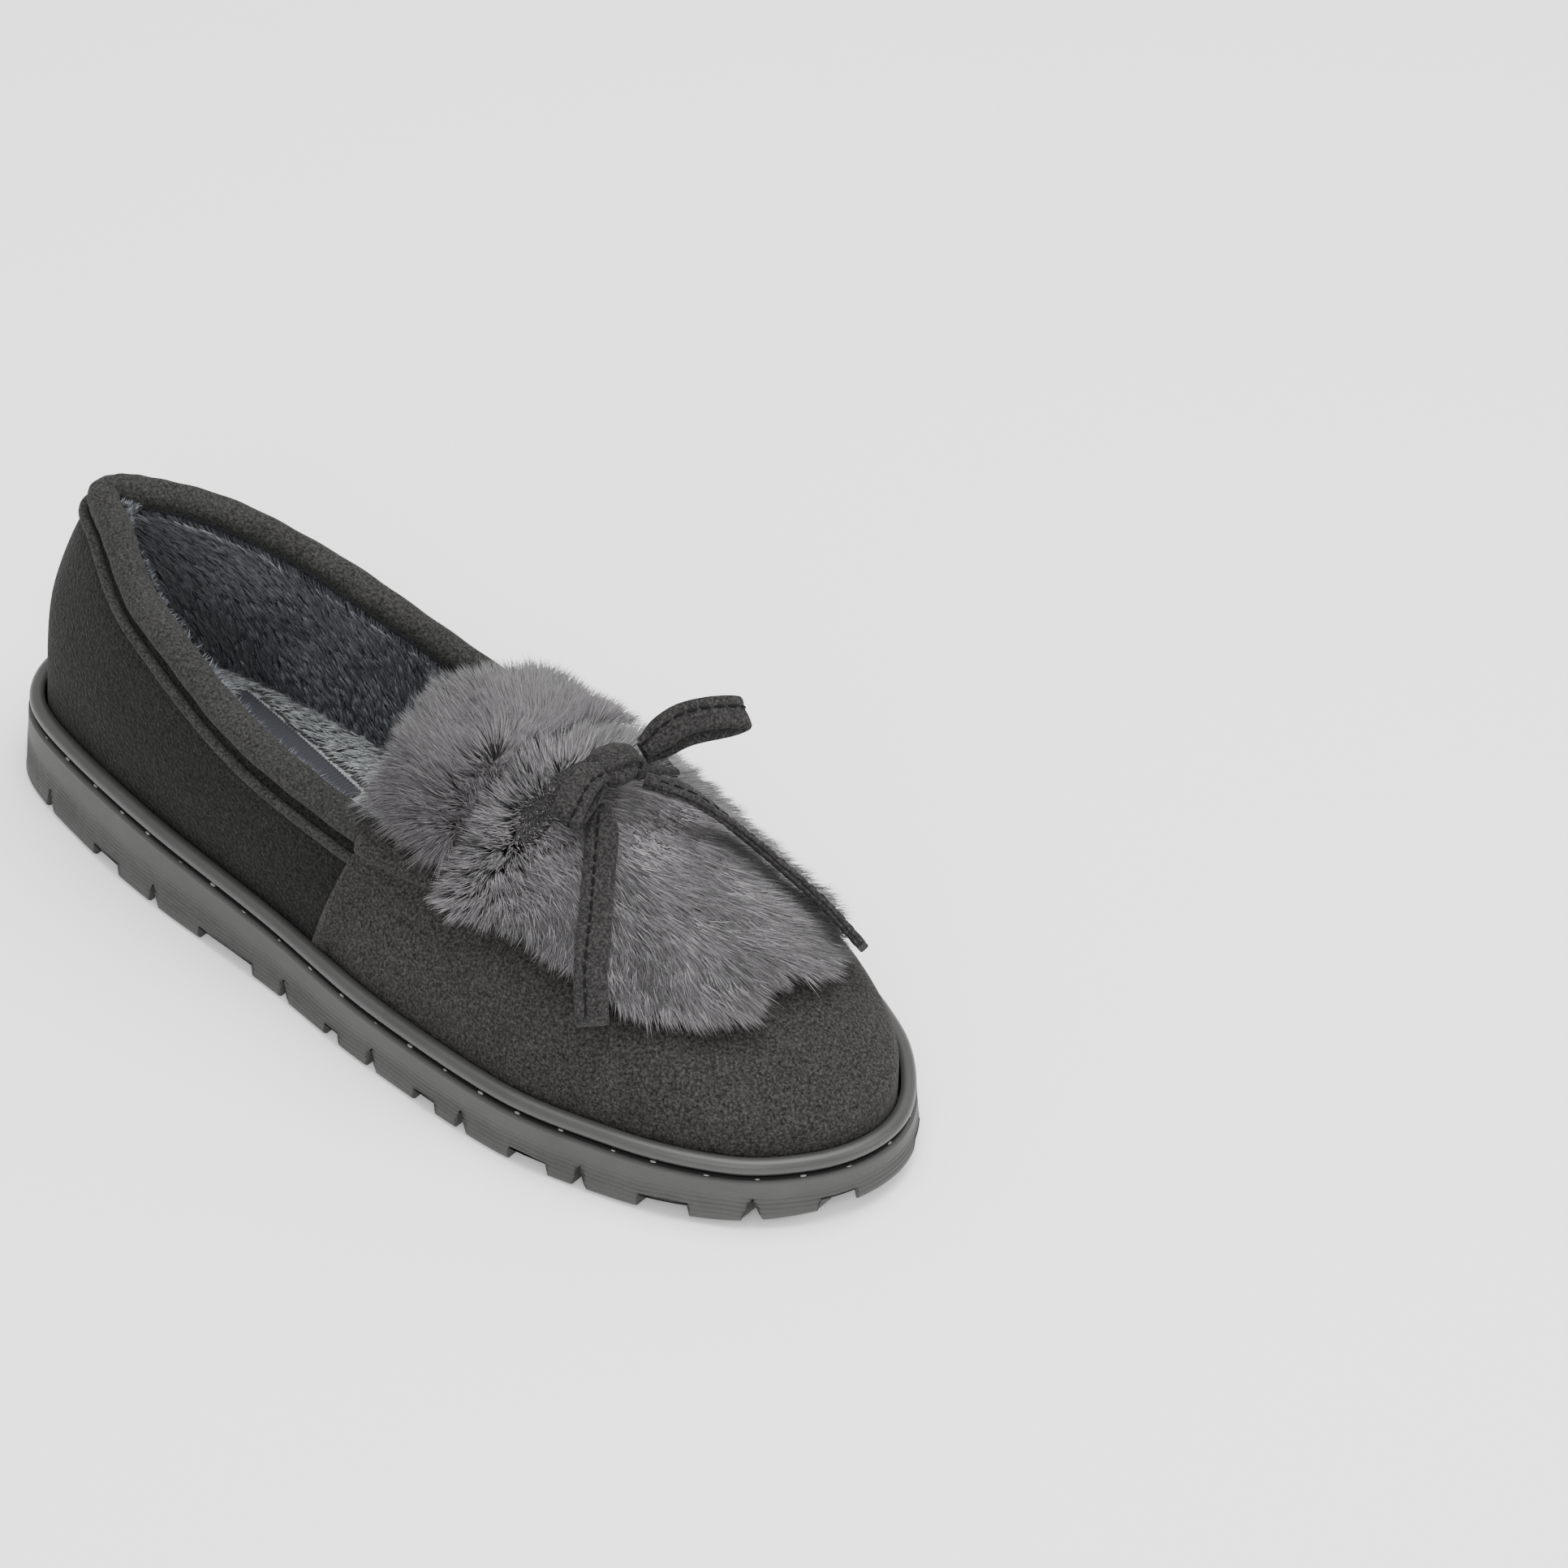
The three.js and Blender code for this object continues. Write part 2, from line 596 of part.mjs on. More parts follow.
// ---- Fur flap and its loose rear lip ----------------------------------------------------

function furFlap() {
  const rows = steps(12, -1, 1).map((s) => {
    const corner = rimAngle(s < 0 ? FLAP_LATERAL_X : FLAP_MEDIAL_X);
    const end = lerp(rimAngle(FLAP_END_X), corner, Math.abs(s) ** 3);
    return steps(12, rimAngle(THROAT_X + 1), end)
      .map((around) => crownPoint(around, s * FLAP_SHARE));
  });
  return thicken(sheet(rows), FUR_BACKING_GAP + FUR_HEIGHT, FUR_BACKING_GAP);
}

// The lip carries on backwards from the throat, over the foot opening, and rises.
function tongue() {
  const rows = steps(6, 0, 1).map((t) => steps(8, -1, 1).map((s) => {
    const p = crownPoint(rimAngle(THROAT_X), s * TONGUE_SHARE);
    p.x -= 1 + TONGUE_LENGTH * t;
    p.y *= 1 - 0.1 * t;
    p.z += FUR_BACKING_GAP + TONGUE_RISE * t * t + TONGUE_SIDE_LIFT * s ** 4;
    return p;
  }));
  return thicken(sheet(rows), FUR_HEIGHT, 0);
}

// ---- Lace: bridge, knot, loops and tails ------------------------------------------------

const strapSection = (width) => {
  const [w, t, r] = [width / 2, STRAP_THICKNESS / 2, STRAP_ROUNDING];
  const half = [[w, -t + r], [w, t - r], [w - r, t], [-w + r, t]];
  return [...half, ...half.map(([x, y]) => [-x, -y])];
};

// A flat strap along a smooth line; faces gives the direction that its flat side looks.
// It is pinched at its first end, and at its last end too if bothEnds is set.
function strap(points, faces, count, bothEnds = false) {
  const curve = new THREE.CatmullRomCurve3(points.map((p) => new THREE.Vector3(...p)));
  const looks = new THREE.CatmullRomCurve3(faces.map((p) => new THREE.Vector3(...p)));
  const length = curve.getLength();
  const frames = steps(count, 0, 1).map((t) => {
    const along = curve.getTangent(t);
    const up = looks.getPoint(t);
    up.addScaledVector(along, -up.dot(along)).normalize();
    const fromKnot = bothEnds ? Math.min(t, 1 - t) : t;
    const width = lerp(STRAP_PINCH, STRAP_WIDTH, smoothstep(fromKnot * length, 0, PINCH_LENGTH));
    return { place: curve.getPoint(t), side: along.clone().cross(up), up, width };
  });
  return loft(frames.map(({ place, side, up, width }) => strapSection(width)
    .map(([a, b]) => place.clone().addScaledVector(side, a).addScaledVector(up, b))));
}

function knot() {
  const ball = new THREE.SphereGeometry(1, 14, 9);
  ball.scale(KNOT.rx, KNOT.ry, KNOT.rz).rotateX(-0.12).translate(KNOT.x, KNOT.y, KNOT.z);
  ball.deleteAttribute('normal');
  ball.deleteAttribute('uv');
  const merged = mergeVertices(ball, 1e-3);
  return finished(Array.from(merged.attributes.position.array), Array.from(merged.index.array));
}

// Where a strap lies on the fur: points over the crown and the way its flat side looks.
const lying = (stops) => stops.map(([x, share, lift = STRAP_LIFT]) => {
  const p = overCrown(x, share, lift);
  return { point: p.toArray(), face: overCrown(x, share, lift + 1).sub(p).toArray() };
});

const tailLateral = () => {
  const rest = lying([[182, -0.36], [188, -0.58], [193, -0.8], [197, -1]]);
  return strap([[172.8, 2.6, 67], [177.5, -5, 65.6], ...rest.map((r) => r.point)],
    [[0.2, -0.3, 1], [0.2, -0.4, 1], ...rest.map((r) => r.face)], 12);
};

// The medial tail stands on its edge in the fur.
const tailMedial = () => {
  const rest = lying([[195, 0.46, 10], [206, 0.5, 9.6], [217, 0.54, 9.4], [227, 0.6, 9.4]]);
  return strap([[173.5, 9.5, 69.5], [183, 14, 67.5], ...rest.map((r) => r.point)],
    [[0.2, 0.3, 1], [0.3, 0.6, 0.7], ...rest.map(() => [0.35, 0.9, 0.35])], 14);
};

// A loop goes out from the knot, turns over at its tip and comes back above itself.
function bowLoop(root, tip, lift) {
  const out = new THREE.Vector3(...tip).sub(new THREE.Vector3(...root));
  const spread = (share, rise) => new THREE.Vector3(...root).addScaledVector(out, share)
    .add(new THREE.Vector3(0, 0, rise)).toArray();
  const points = [spread(0, 0), spread(0.45, -0.5), spread(0.85, 0), spread(1, lift / 2),
    spread(0.85, lift), spread(0.45, lift + 1.2), spread(0, lift)];
  const ahead = out.normalize().toArray();
  const faces = [[0, 0, -1], [0, 0, -1], [0, 0, -1], ahead, [0, 0, 1], [0, 0, 1], [0, 0, 1]];
  return strap(points, faces, 20, true);
}

const loopMedial = () => bowLoop([167.5, 16, 70], [179, 36, 75], 4.6);
const loopLateral = () => bowLoop([168.2, -0.4, 71.2], [171, -15.5, 69.4], 4.2);

function laceBridge() {
  const stops = lying([[164, -0.4], [164.5, -0.15], [165, 0.12], [165.5, 0.4], [166, 0.65]]);
  return strap(stops.map((r) => r.point), stops.map((r) => r.face), 8);
}

// ---- Assembly --------------------------------------------------------------------------

const slipper = new THREE.Group();
slipper.position.set(-MIDDLE_X, -MIDDLE_Y, 0);

const finishes = {
  rubber: { color: 0x464645, roughness: 0.75, metalness: 0 },
  thread: { color: 0x1d1d1d, roughness: 0.9, metalness: 0 },
  board: { color: 0x8a7a63, roughness: 0.95, metalness: 0 },
  foam: { color: 0xcfcbbf, roughness: 0.95, metalness: 0 },
  plush: { color: 0x4c4f52, roughness: 1, metalness: 0 },
  ribbon: { color: 0x3b3d42, roughness: 0.8, metalness: 0 },
  suede: { color: 0x3c3b39, roughness: 0.95, metalness: 0 },
  stiffener: { color: 0xb8b2a4, roughness: 0.9, metalness: 0 },
  fur: { color: 0x6c6a6a, roughness: 1, metalness: 0 },
};

function addPiece(name, geometry, finish) {
  const mesh = new THREE.Mesh(geometry, new THREE.MeshStandardMaterial(finishes[finish]));
  mesh.name = name;
  slipper.add(mesh);
}

addPiece('outsole', outsole(), 'rubber');
addPiece('sole_stitch_thread', stitchThread(), 'thread');
addPiece('insole_board', insoleLayer(-INSOLE_INSET, ...BOARD), 'board');
addPiece('insole_foam', insoleLayer(-INSOLE_INSET, ...FOAM), 'foam');
addPiece('insole_sock', insoleLayer(-INSOLE_INSET, ...SOCK), 'plush');
addPiece('sock_label', sockLabel(), 'ribbon');
addPiece('vamp', vamp(), 'suede');
addPiece('quarter', quarter(), 'suede');
addPiece('heel_counter', heelCounter(), 'stiffener');
addPiece('toe_puff', toePuff(), 'stiffener');
addPiece('vamp_lining', vampLining(), 'plush');
addPiece('quarter_lining', quarterLining(), 'plush');
addPiece('collar_binding', collarBinding(), 'suede');
addPiece('collar_foam', collarFoam(), 'foam');
addPiece('collar_piping', collarPiping(), 'suede');
addPiece('fur_flap', furFlap(), 'fur');
addPiece('tongue', tongue(), 'fur');
addPiece('lace_bridge', laceBridge(), 'suede');
addPiece('bow_knot', knot(), 'suede');
addPiece('bow_loop_lateral', loopLateral(), 'suede');
addPiece('bow_loop_medial', loopMedial(), 'suede');
addPiece('lace_tail_lateral', tailLateral(), 'suede');
addPiece('lace_tail_medial', tailMedial(), 'suede');

export default slipper;
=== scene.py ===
# %% [markdown]
# # A fluffy house slipper
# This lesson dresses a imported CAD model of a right-foot moccasin slipper. The CAD says where
# every part is. Here each part gets the surface a shopper would see: napped suede, a ribbed
# rubber sole, a padded collar, plush, long fur and a tied strap bow. Lengths are worked out
# in millimetres, like a shoemaker's pattern, and turned into metres as each piece is made.

# %% Load the frame
import math
import bpy
import numpy as np
from mathutils import Matrix, Vector


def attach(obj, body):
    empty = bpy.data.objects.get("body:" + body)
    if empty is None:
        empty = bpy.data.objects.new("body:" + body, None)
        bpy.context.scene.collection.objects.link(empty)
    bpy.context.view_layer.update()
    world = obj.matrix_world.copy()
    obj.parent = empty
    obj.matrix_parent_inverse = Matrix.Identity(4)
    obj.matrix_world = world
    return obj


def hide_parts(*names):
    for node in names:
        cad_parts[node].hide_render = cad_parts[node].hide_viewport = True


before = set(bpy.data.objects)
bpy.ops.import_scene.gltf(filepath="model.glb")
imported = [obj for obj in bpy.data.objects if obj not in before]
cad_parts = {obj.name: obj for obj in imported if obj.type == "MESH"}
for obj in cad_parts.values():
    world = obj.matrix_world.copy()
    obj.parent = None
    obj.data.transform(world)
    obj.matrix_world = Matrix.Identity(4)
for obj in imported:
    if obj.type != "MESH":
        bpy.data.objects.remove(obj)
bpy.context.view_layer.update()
MM = 0.001
seed = 7

# %% [markdown]
# ## Camera
# A long lens from well above is the usual choice for a shoe, because the shoe then hardly
# narrows with distance. The camera stands at its place on a sphere round the shoe and then
# turns a few degrees aside, which leaves room on the right.

# %% Camera
azimuth, elevation, roll = (math.radians(v) for v in (39.68, 39.73, 1.01))
camera_distance = 1.502
camera_lens = 148.05
beside, above = 0.0758, 0.0148        # how far the view's middle lies from the shoe's middle
shoe_middle = Vector((-0.0005, 0.0028, 0.030))

back = Vector((math.sin(azimuth) * math.cos(elevation),
               -math.cos(azimuth) * math.cos(elevation), math.sin(elevation)))
right = Vector((math.cos(azimuth), math.sin(azimuth), 0))
up = back.cross(right)
right, up = (math.cos(roll) * right + math.sin(roll) * up,
             math.cos(roll) * up - math.sin(roll) * right)
camera_place = shoe_middle + back * camera_distance
view_middle = shoe_middle + right * beside + up * above
camera_back = (camera_place - view_middle).normalized()
camera_right = up.cross(camera_back).normalized()
camera_up = camera_back.cross(camera_right)
camera = bpy.data.objects.new("camera", bpy.data.cameras.new("camera"))
bpy.context.collection.objects.link(camera)
camera.matrix_world = Matrix.Translation(camera_place) @ Matrix(
    (camera_right, camera_up, camera_back)).transposed().to_4x4()
camera.data.lens = camera_lens
camera.data.sensor_width = 36
camera.data.clip_end = 20
bpy.context.scene.camera = camera
print("camera stands", round(camera_distance, 2), "m away")

# %% [markdown]
# ## Studio
# Dark suede needs a lot of soft light, or it turns into a black shape. One large lamp stands
# over the shoe, a second one fills from the camera's side, and a bright surround lifts the
# shadows inside the foot opening.

# %% Studio


def area_lamp(name, place, size, power):
    lamp = bpy.data.objects.new(name, bpy.data.lights.new(name, "AREA"))
    bpy.context.collection.objects.link(lamp)
    lamp.location = place
    lamp.rotation_euler = Vector(place).to_track_quat("Z", "Y").to_euler()
    lamp.data.size = size
    lamp.data.energy = power
    return lamp


area_lamp("top_lamp", (0.1, 0.15, 1.3), 0.9, 24)
area_lamp("fill_lamp", (0.7, -1.1, 0.9), 0.9, 14)
area_lamp("toe_lamp", (1.3, 0.5, 0.8), 0.7, 8)
surround = bpy.data.worlds.new("surround")
bpy.context.scene.world = surround
surround.use_nodes = True
surround.node_tree.nodes["Background"].inputs["Color"].default_value = (1, 1, 1, 1)
surround.node_tree.nodes["Background"].inputs["Strength"].default_value = 1.15

bpy.ops.object.select_all(action="DESELECT")
bpy.ops.mesh.primitive_plane_add(size=6, location=(0, 0, 0))
floor = bpy.context.object
floor.name = "floor"
floor_paint = bpy.data.materials.new("floor_paint")
floor_paint.use_nodes = True
floor_shader = floor_paint.node_tree.nodes["Principled BSDF"]
floor_shader.inputs["Base Color"].default_value = (0.96, 0.96, 0.96, 1)
floor_shader.inputs["Roughness"].default_value = 0.8
floor.data.materials.append(floor_paint)

# %% [markdown]
# ## The pattern
# A shoe is drawn on a last. The same few widths and heights that the CAD was built from give
# smooth curves here: the sole's outline, the rim of the opening and the ridge of the instep.
# Widths are spaced by angle rather than by length, so that heel and toe come out round.

# %% Pattern dimensions
SOLE_LENGTH = 255.0
WIDTH_STATIONS = [0, 0.04, 0.12, 0.25, 0.4, 0.55, 0.7, 0.82, 0.92, 0.975, 1]
LATERAL_WIDTHS = [0, 19.7, 27.6, 34.8, 39.2, 45.3, 48.1, 43.2, 33.1, 19.1, 0]
MEDIAL_WIDTHS = [0, 16.6, 26.1, 30.3, 32, 37, 42.5, 40, 30, 17, 0]
MIDDLE = np.array([SOLE_LENGTH / 2, (max(MEDIAL_WIDTHS) - max(LATERAL_WIDTHS)) / 2, 0])
GROOVE_HEEL, GROOVE_TOE = 19.6, 13.8
TOE_SPRING, TOE_SPRING_START = 3.7, 0.78
CUP_WALL, CUP_FLOOR_BELOW_GROOVE = 3.2, 5.0
RIM_HEEL_X, SHOULDER_TOE_X = 17.5, 243.0
RIM_STATIONS = [0, 0.036, 0.151, 0.363, 0.605, 0.716, 0.852, 0.961, 1]
RIM_LATERAL = [0, 7, 21.1, 29.4, 30.4, 33, 29.5, 18, 0]
RIM_MEDIAL = [0, 7, 21.1, 29.4, 29.6, 31, 28.5, 17, 0]
RIM_HEIGHTS = [78.8, 78.6, 71, 56.4, 48, 43.5, 36, 29, 27]
RIDGE_STATIONS = [40, 120, 150, 165, 180, 200, 222]
RIDGE_HEIGHTS = [86, 66, 61, 57.5, 53, 45.5, 37]
RIDGE_START_X = 36
UPPER_INSET = CUP_WALL + 0.7
WALL_BULGE, HEEL_BULGE = 2.2, 5.5
ROLL_OUTSET, ROLL_RADIUS, ROLL_ALLOWANCE = -1.4, 4.0, 4.9
RIM_AT = 0.3
SEAM_BOTTOM_X, SEAM_TOP_X, THROAT_X, ROLL_HIDDEN_X = 115.0, 128.0, 150.0, 137.0
LINING_IN = -5.6

# %% [markdown]
# ## Smooth curves through a few points
# A pattern maker bends a spline through a handful of marks. A curve object could do it here,
# but the same curves are asked for at thousands of places, so they are short functions: one
# for a curve through the marks, and one each for the outline, the rim and the ridge.

# %% Curves of the pattern


def smooth_table(xs, ys):
    """A smooth curve through the values that never overshoots them."""
    xs, ys = np.array(xs, float), np.array(ys, float)
    slopes = np.diff(ys) / np.diff(xs)
    before, after = slopes[:-1], slopes[1:]
    rising = before * after > 0
    middle = np.where(rising, 2 * before * after / np.where(rising, before + after, 1), 0)
    tangents = np.concatenate([slopes[:1], middle, slopes[-1:]])

    def value(x):
        x = np.clip(x, xs[0], xs[-1])
        i = np.clip(np.searchsorted(xs, x, side="left") - 1, 0, len(xs) - 2)
        width = xs[i + 1] - xs[i]
        t = (x - xs[i]) / width
        rise = width * (tangents[i] * t * (1 - t) ** 2 - tangents[i + 1] * t * t * (1 - t))
        return ys[i] + (ys[i + 1] - ys[i]) * t * t * (3 - 2 * t) + rise

    return value


def angle_at(fraction):
    return np.arccos(1 - 2 * np.clip(fraction, 0, 1))


def lerp(a, b, t):
    return a + (b - a) * t


def smoothstep(x, low, high):
    t = np.clip((x - low) / (high - low), 0, 1)
    return t * t * (3 - 2 * t)


def unit(v):
    return v / np.maximum(np.linalg.norm(v, axis=-1, keepdims=True), 1e-9)


lateral_width = smooth_table(angle_at(np.array(WIDTH_STATIONS)), LATERAL_WIDTHS)
medial_width = smooth_table(angle_at(np.array(WIDTH_STATIONS)), MEDIAL_WIDTHS)
rim_lateral = smooth_table(angle_at(np.array(RIM_STATIONS)), RIM_LATERAL)
rim_medial = smooth_table(angle_at(np.array(RIM_STATIONS)), RIM_MEDIAL)
rim_height = smooth_table(angle_at(np.array(RIM_STATIONS)), RIM_HEIGHTS)
ridge_height = smooth_table(RIDGE_STATIONS, RIDGE_HEIGHTS)


def toe_spring(x):
    rise = (x / SOLE_LENGTH - TOE_SPRING_START) / (1 - TOE_SPRING_START)
    return TOE_SPRING * np.clip(rise, 0, 1.1) ** 2


def groove_height(x):
    return lerp(GROOVE_HEEL, GROOVE_TOE, smoothstep(x / SOLE_LENGTH, 0.15, 0.6))


def cup_floor(x):
    return groove_height(x) - CUP_FLOOR_BELOW_GROOVE


def outline(angle, outset=0.0):
    """Points of the sole's outline; the angle is 0 at the heel and PI at the toe, and
    negative on the lateral side."""
    def place(a):
        a = np.where(a > np.pi, a - 2 * np.pi, np.where(a < -np.pi, a + 2 * np.pi, a))
        around = np.abs(a)
        y = np.where(a > 0, medial_width(around), -lateral_width(around))
        return np.stack([SOLE_LENGTH * (1 - np.cos(around)) / 2, y], -1)
    angle = np.asarray(angle, float)
    along = unit(place(angle + 0.01) - place(angle - 0.01))
    out = np.stack([-along[..., 1], along[..., 0]], -1)
    return place(angle) + out * np.asarray(outset, float)[..., None]


def rim(angle, outset=0.0):
    """Points of the rim, where the collar's roll has its middle."""
    def place(a):
        around = np.abs(a)
        y = np.where(a > 0, rim_medial(around), -rim_lateral(around))
        x = lerp(RIM_HEEL_X, SHOULDER_TOE_X, (1 - np.cos(around)) / 2)
        return np.stack([x, y, rim_height(around)], -1)
    angle = np.asarray(angle, float)
    along = place(angle + 0.01) - place(angle - 0.01)
    out = unit(np.stack([-along[..., 1], along[..., 0], 0 * along[..., 0]], -1))
    return place(angle) + out * outset


def rim_angle(x):
    return angle_at((x - RIM_HEEL_X) / (SHOULDER_TOE_X - RIM_HEEL_X))


def base_angle(x):
    return angle_at(x / SOLE_LENGTH)


# %% [markdown]
# ## The last's surface
# Each cross-section of the upper is one smooth curve through eleven points, from the lateral
# sole edge up the wall, over the rim and the ridge, and down again. All suede, lining and fur
# is cut from this one surface, so neighbouring pieces meet without gaps.

# %% Surface of the last


def section_points(around):
    """The eleven points of the sections at these angles: shape (count, 11, 3)."""
    ridge_x = lerp(RIDGE_START_X, RIDGE_STATIONS[-1], (1 - np.cos(around)) / 2)
    ridge = np.stack([ridge_x, 0 * ridge_x, ridge_height(ridge_x)], -1)
    bulge = lerp(HEEL_BULGE, WALL_BULGE, smoothstep(around, 0, 1.3))[:, None]
    halves = []
    for side in (-1, 1):
        flat = outline(side * around, -UPPER_INSET)
        base = np.concatenate([flat, (cup_floor(flat[:, :1]) + 0.35)], 1)
        lip = np.concatenate([flat, groove_height(flat[:, :1]) + 5.2], 1)
        edge = rim(side * around, -ROLL_OUTSET)
        away = base - ridge
        away[:, 2] = 0
        away = unit(away)
        wall = (lip + edge) / 2 + away * bulge
        crown = (edge + ridge) / 2
        crown[:, 2] += 0.16 * (ridge[:, 2] - edge[:, 2])
        crown += away * 0.05 * np.linalg.norm((edge - ridge)[:, :2], axis=1)[:, None]
        halves.append([base, lip, wall, edge, crown])
    return np.stack([*halves[0], ridge, *halves[1][::-1]], 1)


def upper(around, across):
    """Points of the suede's outer face. across runs from 0 to 1 over a section."""
    around, across = np.broadcast_arrays(np.asarray(around, float), np.asarray(across, float))
    shape = around.shape
    points = section_points(around.ravel())
    ends = [2 * points[:, :1] - points[:, 1:2], points, 2 * points[:, -1:] - points[:, -2:-1]]
    points = np.concatenate(ends, 1)
    place = np.clip(across.ravel(), 0, 1) * 10
    i = np.minimum(place.astype(int), 9)
    t = (place - i)[:, None]
    rows = np.arange(len(i))
    a, b, c, d = (points[rows, i + k] for k in range(4))
    ab, bc, cd = (np.sqrt(np.maximum(np.linalg.norm(q - p, axis=1), 1e-6))[:, None]
                  for p, q in ((a, b), (b, c), (c, d)))
    start = ((b - a) / ab - (c - a) / (ab + bc) + (c - b) / bc) * bc
    end = ((c - b) / bc - (d - b) / (bc + cd) + (d - c) / cd) * bc
    curve = b + start * t + (3 * (c - b) - 2 * start - end) * t ** 2
    curve = curve + (2 * (b - c) + start + end) * t ** 3
    return curve.reshape(*shape, 3)


def below_rim(around, distance, medial):
    points = section_points(np.ravel(np.asarray(around, float)))
    wall, edge = (8, 7) if medial else (2, 3)
    spans = np.linalg.norm(points[:, wall] - points[:, edge], axis=1)
    across = RIM_AT - 0.1 * distance / spans.reshape(np.shape(around))
    return 1 - across if medial else across


def seam_around(height):
    return lerp(base_angle(SEAM_BOTTOM_X), rim_angle(SEAM_TOP_X), height)


def wall_across(around, height, medial):
    """height 0 is the cup's floor and 1 the edge under the collar's roll."""
    top = below_rim(around, ROLL_ALLOWANCE, medial)
    return 1 - height * (1 - top) if medial else height * top


def crown_across(around, share):
    """share -1 is the lateral wall's top edge, 0 the ridge and 1 the medial one."""
    lateral = below_rim(around, ROLL_ALLOWANCE, False)
    medial = below_rim(around, ROLL_ALLOWANCE, True)
    return lerp(0.5, np.where(share > 0, medial, lateral), np.abs(share))


def grid_normals(grid):
    """Outward directions at the points of a grid, away from the shoe's long axis."""
    normals = unit(np.cross(np.gradient(grid, axis=0), np.gradient(grid, axis=1)))
    away = grid * np.array([0, 1, 1]) - np.array([0, 0, 15.0])
    return normals if (normals * away).sum() > 0 else -normals


print("ridge at the throat:", np.round(upper(rim_angle(THROAT_X), 0.5), 1))

# %% [markdown]
# ## Making pieces
# A helper turns points and faces into a finished object: it moves the pattern to the frame's
# origin, scales it to metres, shades it smooth and gives it its materials; another hands it to its body.

# %% Piece helpers


def new_piece(name, points, faces, materials):
    mesh = bpy.data.meshes.new(name)
    points = ((np.asarray(points) - MIDDLE) * MM).tolist()
    mesh.from_pydata(points, [], [list(face) for face in faces])
    for material in materials:
        mesh.materials.append(material)
    mesh.polygons.foreach_set("use_smooth", np.full(len(mesh.polygons), True))
    piece = bpy.data.objects.new(name, mesh)
    bpy.context.collection.objects.link(piece)
    return piece


def grid_faces(rows, columns, first=0, closed_rows=False, closed_columns=False):
    i = np.arange(rows if closed_rows else rows - 1)[:, None]
    j = np.arange(columns if closed_columns else columns - 1)[None, :]
    ni, nj = (i + 1) % rows, (j + 1) % columns
    quads = np.stack([i * columns + j, i * columns + nj, ni * columns + nj, ni * columns + j], -1)
    return quads.reshape(-1, 4) + first


def edit(piece, *steps):
    """Runs edit-mode operators on the whole of a piece."""
    bpy.ops.object.select_all(action="DESELECT")
    piece.select_set(True)
    bpy.context.view_layer.objects.active = piece
    bpy.ops.object.mode_set(mode="EDIT")
    bpy.ops.mesh.select_all(action="SELECT")
    for step in steps:
        step()
    bpy.ops.object.mode_set(mode="OBJECT")


def merge(threshold=0.02 * MM):
    return lambda: bpy.ops.mesh.remove_doubles(threshold=threshold)


def outward():
    bpy.ops.mesh.normals_make_consistent(inside=False)


def apply_modifier(piece, kind, **settings):
    modifier = piece.modifiers.new(kind.lower(), kind)
    for key, value in settings.items():
        setattr(modifier, key, value)
    bpy.ops.object.select_all(action="DESELECT")
    piece.select_set(True)
    bpy.context.view_layer.objects.active = piece
    bpy.ops.object.modifier_apply(modifier=modifier.name)


def sheet_piece(name, grids, thickness, materials):
    """Joins grids of points into one sheet and gives it a thickness, inwards."""
    points, faces, first = [], [], 0
    for grid in grids:
        rows, columns = grid.shape[:2]
        points.append(grid.reshape(-1, 3))
        faces.append(grid_faces(rows, columns, first))
        first += rows * columns
    piece = new_piece(name, np.concatenate(points), np.concatenate(faces), materials)
    edit(piece, merge(), outward)
    normals = np.array([p.normal[:] for p in piece.data.polygons])
    centres = np.array([p.center[:] for p in piece.data.polygons])
    if (normals * (centres * [0, 1, 1] - [0, 0, 0.015])).sum() < 0:
        edit(piece, bpy.ops.mesh.flip_normals)
    apply_modifier(piece, "SOLIDIFY", thickness=thickness * MM, offset=-1, use_even_offset=True)
    return piece


def tube(rings, closed=False):
    """Points and faces of a body that passes through rings of points."""
    count, sides = rings.shape[:2]
    faces = grid_faces(count, sides, 0, closed, True)
    points = rings.reshape(-1, 3)
    if closed:
        return points, [list(f) for f in faces]
    centres = np.stack([rings[0].mean(0), rings[-1].mean(0)])
    start, end = len(points), len(points) + 1
    last = (count - 1) * sides
    caps = [[start, (k + 1) % sides, k, k] for k in range(sides)]
    caps += [[end, last + k, last + (k + 1) % sides, last + k] for k in range(sides)]
    caps = [f[:3] for f in caps]
    return np.concatenate([points, centres]), [list(f) for f in faces] + caps


def dress(piece, body, slot, *replaced):
    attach(piece, body)
    if replaced:
        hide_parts(*replaced)
    print(piece.name, len(piece.data.polygons), "faces")
    return piece


# %% [markdown]
# ## Finishes
# Suede has no gloss. Its look is a fine mottle, where the nap leans to and fro, and a faint
# light edge where fibres stand up. Noise at two sizes gives the mottle, a bump gives the
# fibres, and the shader's own sheen gives the edge.

# %% Suede, rubber and ribbon


def srgb(r, g, b):
    values = [v / 255 for v in (r, g, b)]
    return tuple(v / 12.92 if v < 0.04045 else ((v + 0.055) / 1.055) ** 2.4 for v in values) + (1,)


def node_kit(name):
    material = bpy.data.materials.new(name)
    material.use_nodes = True
    tree = material.node_tree
    shader = tree.nodes["Principled BSDF"]
    shader.inputs["Specular IOR Level"].default_value = 0.25
    coordinates = tree.nodes.new("ShaderNodeTexCoord").outputs["Object"]
    return material, tree, shader, coordinates


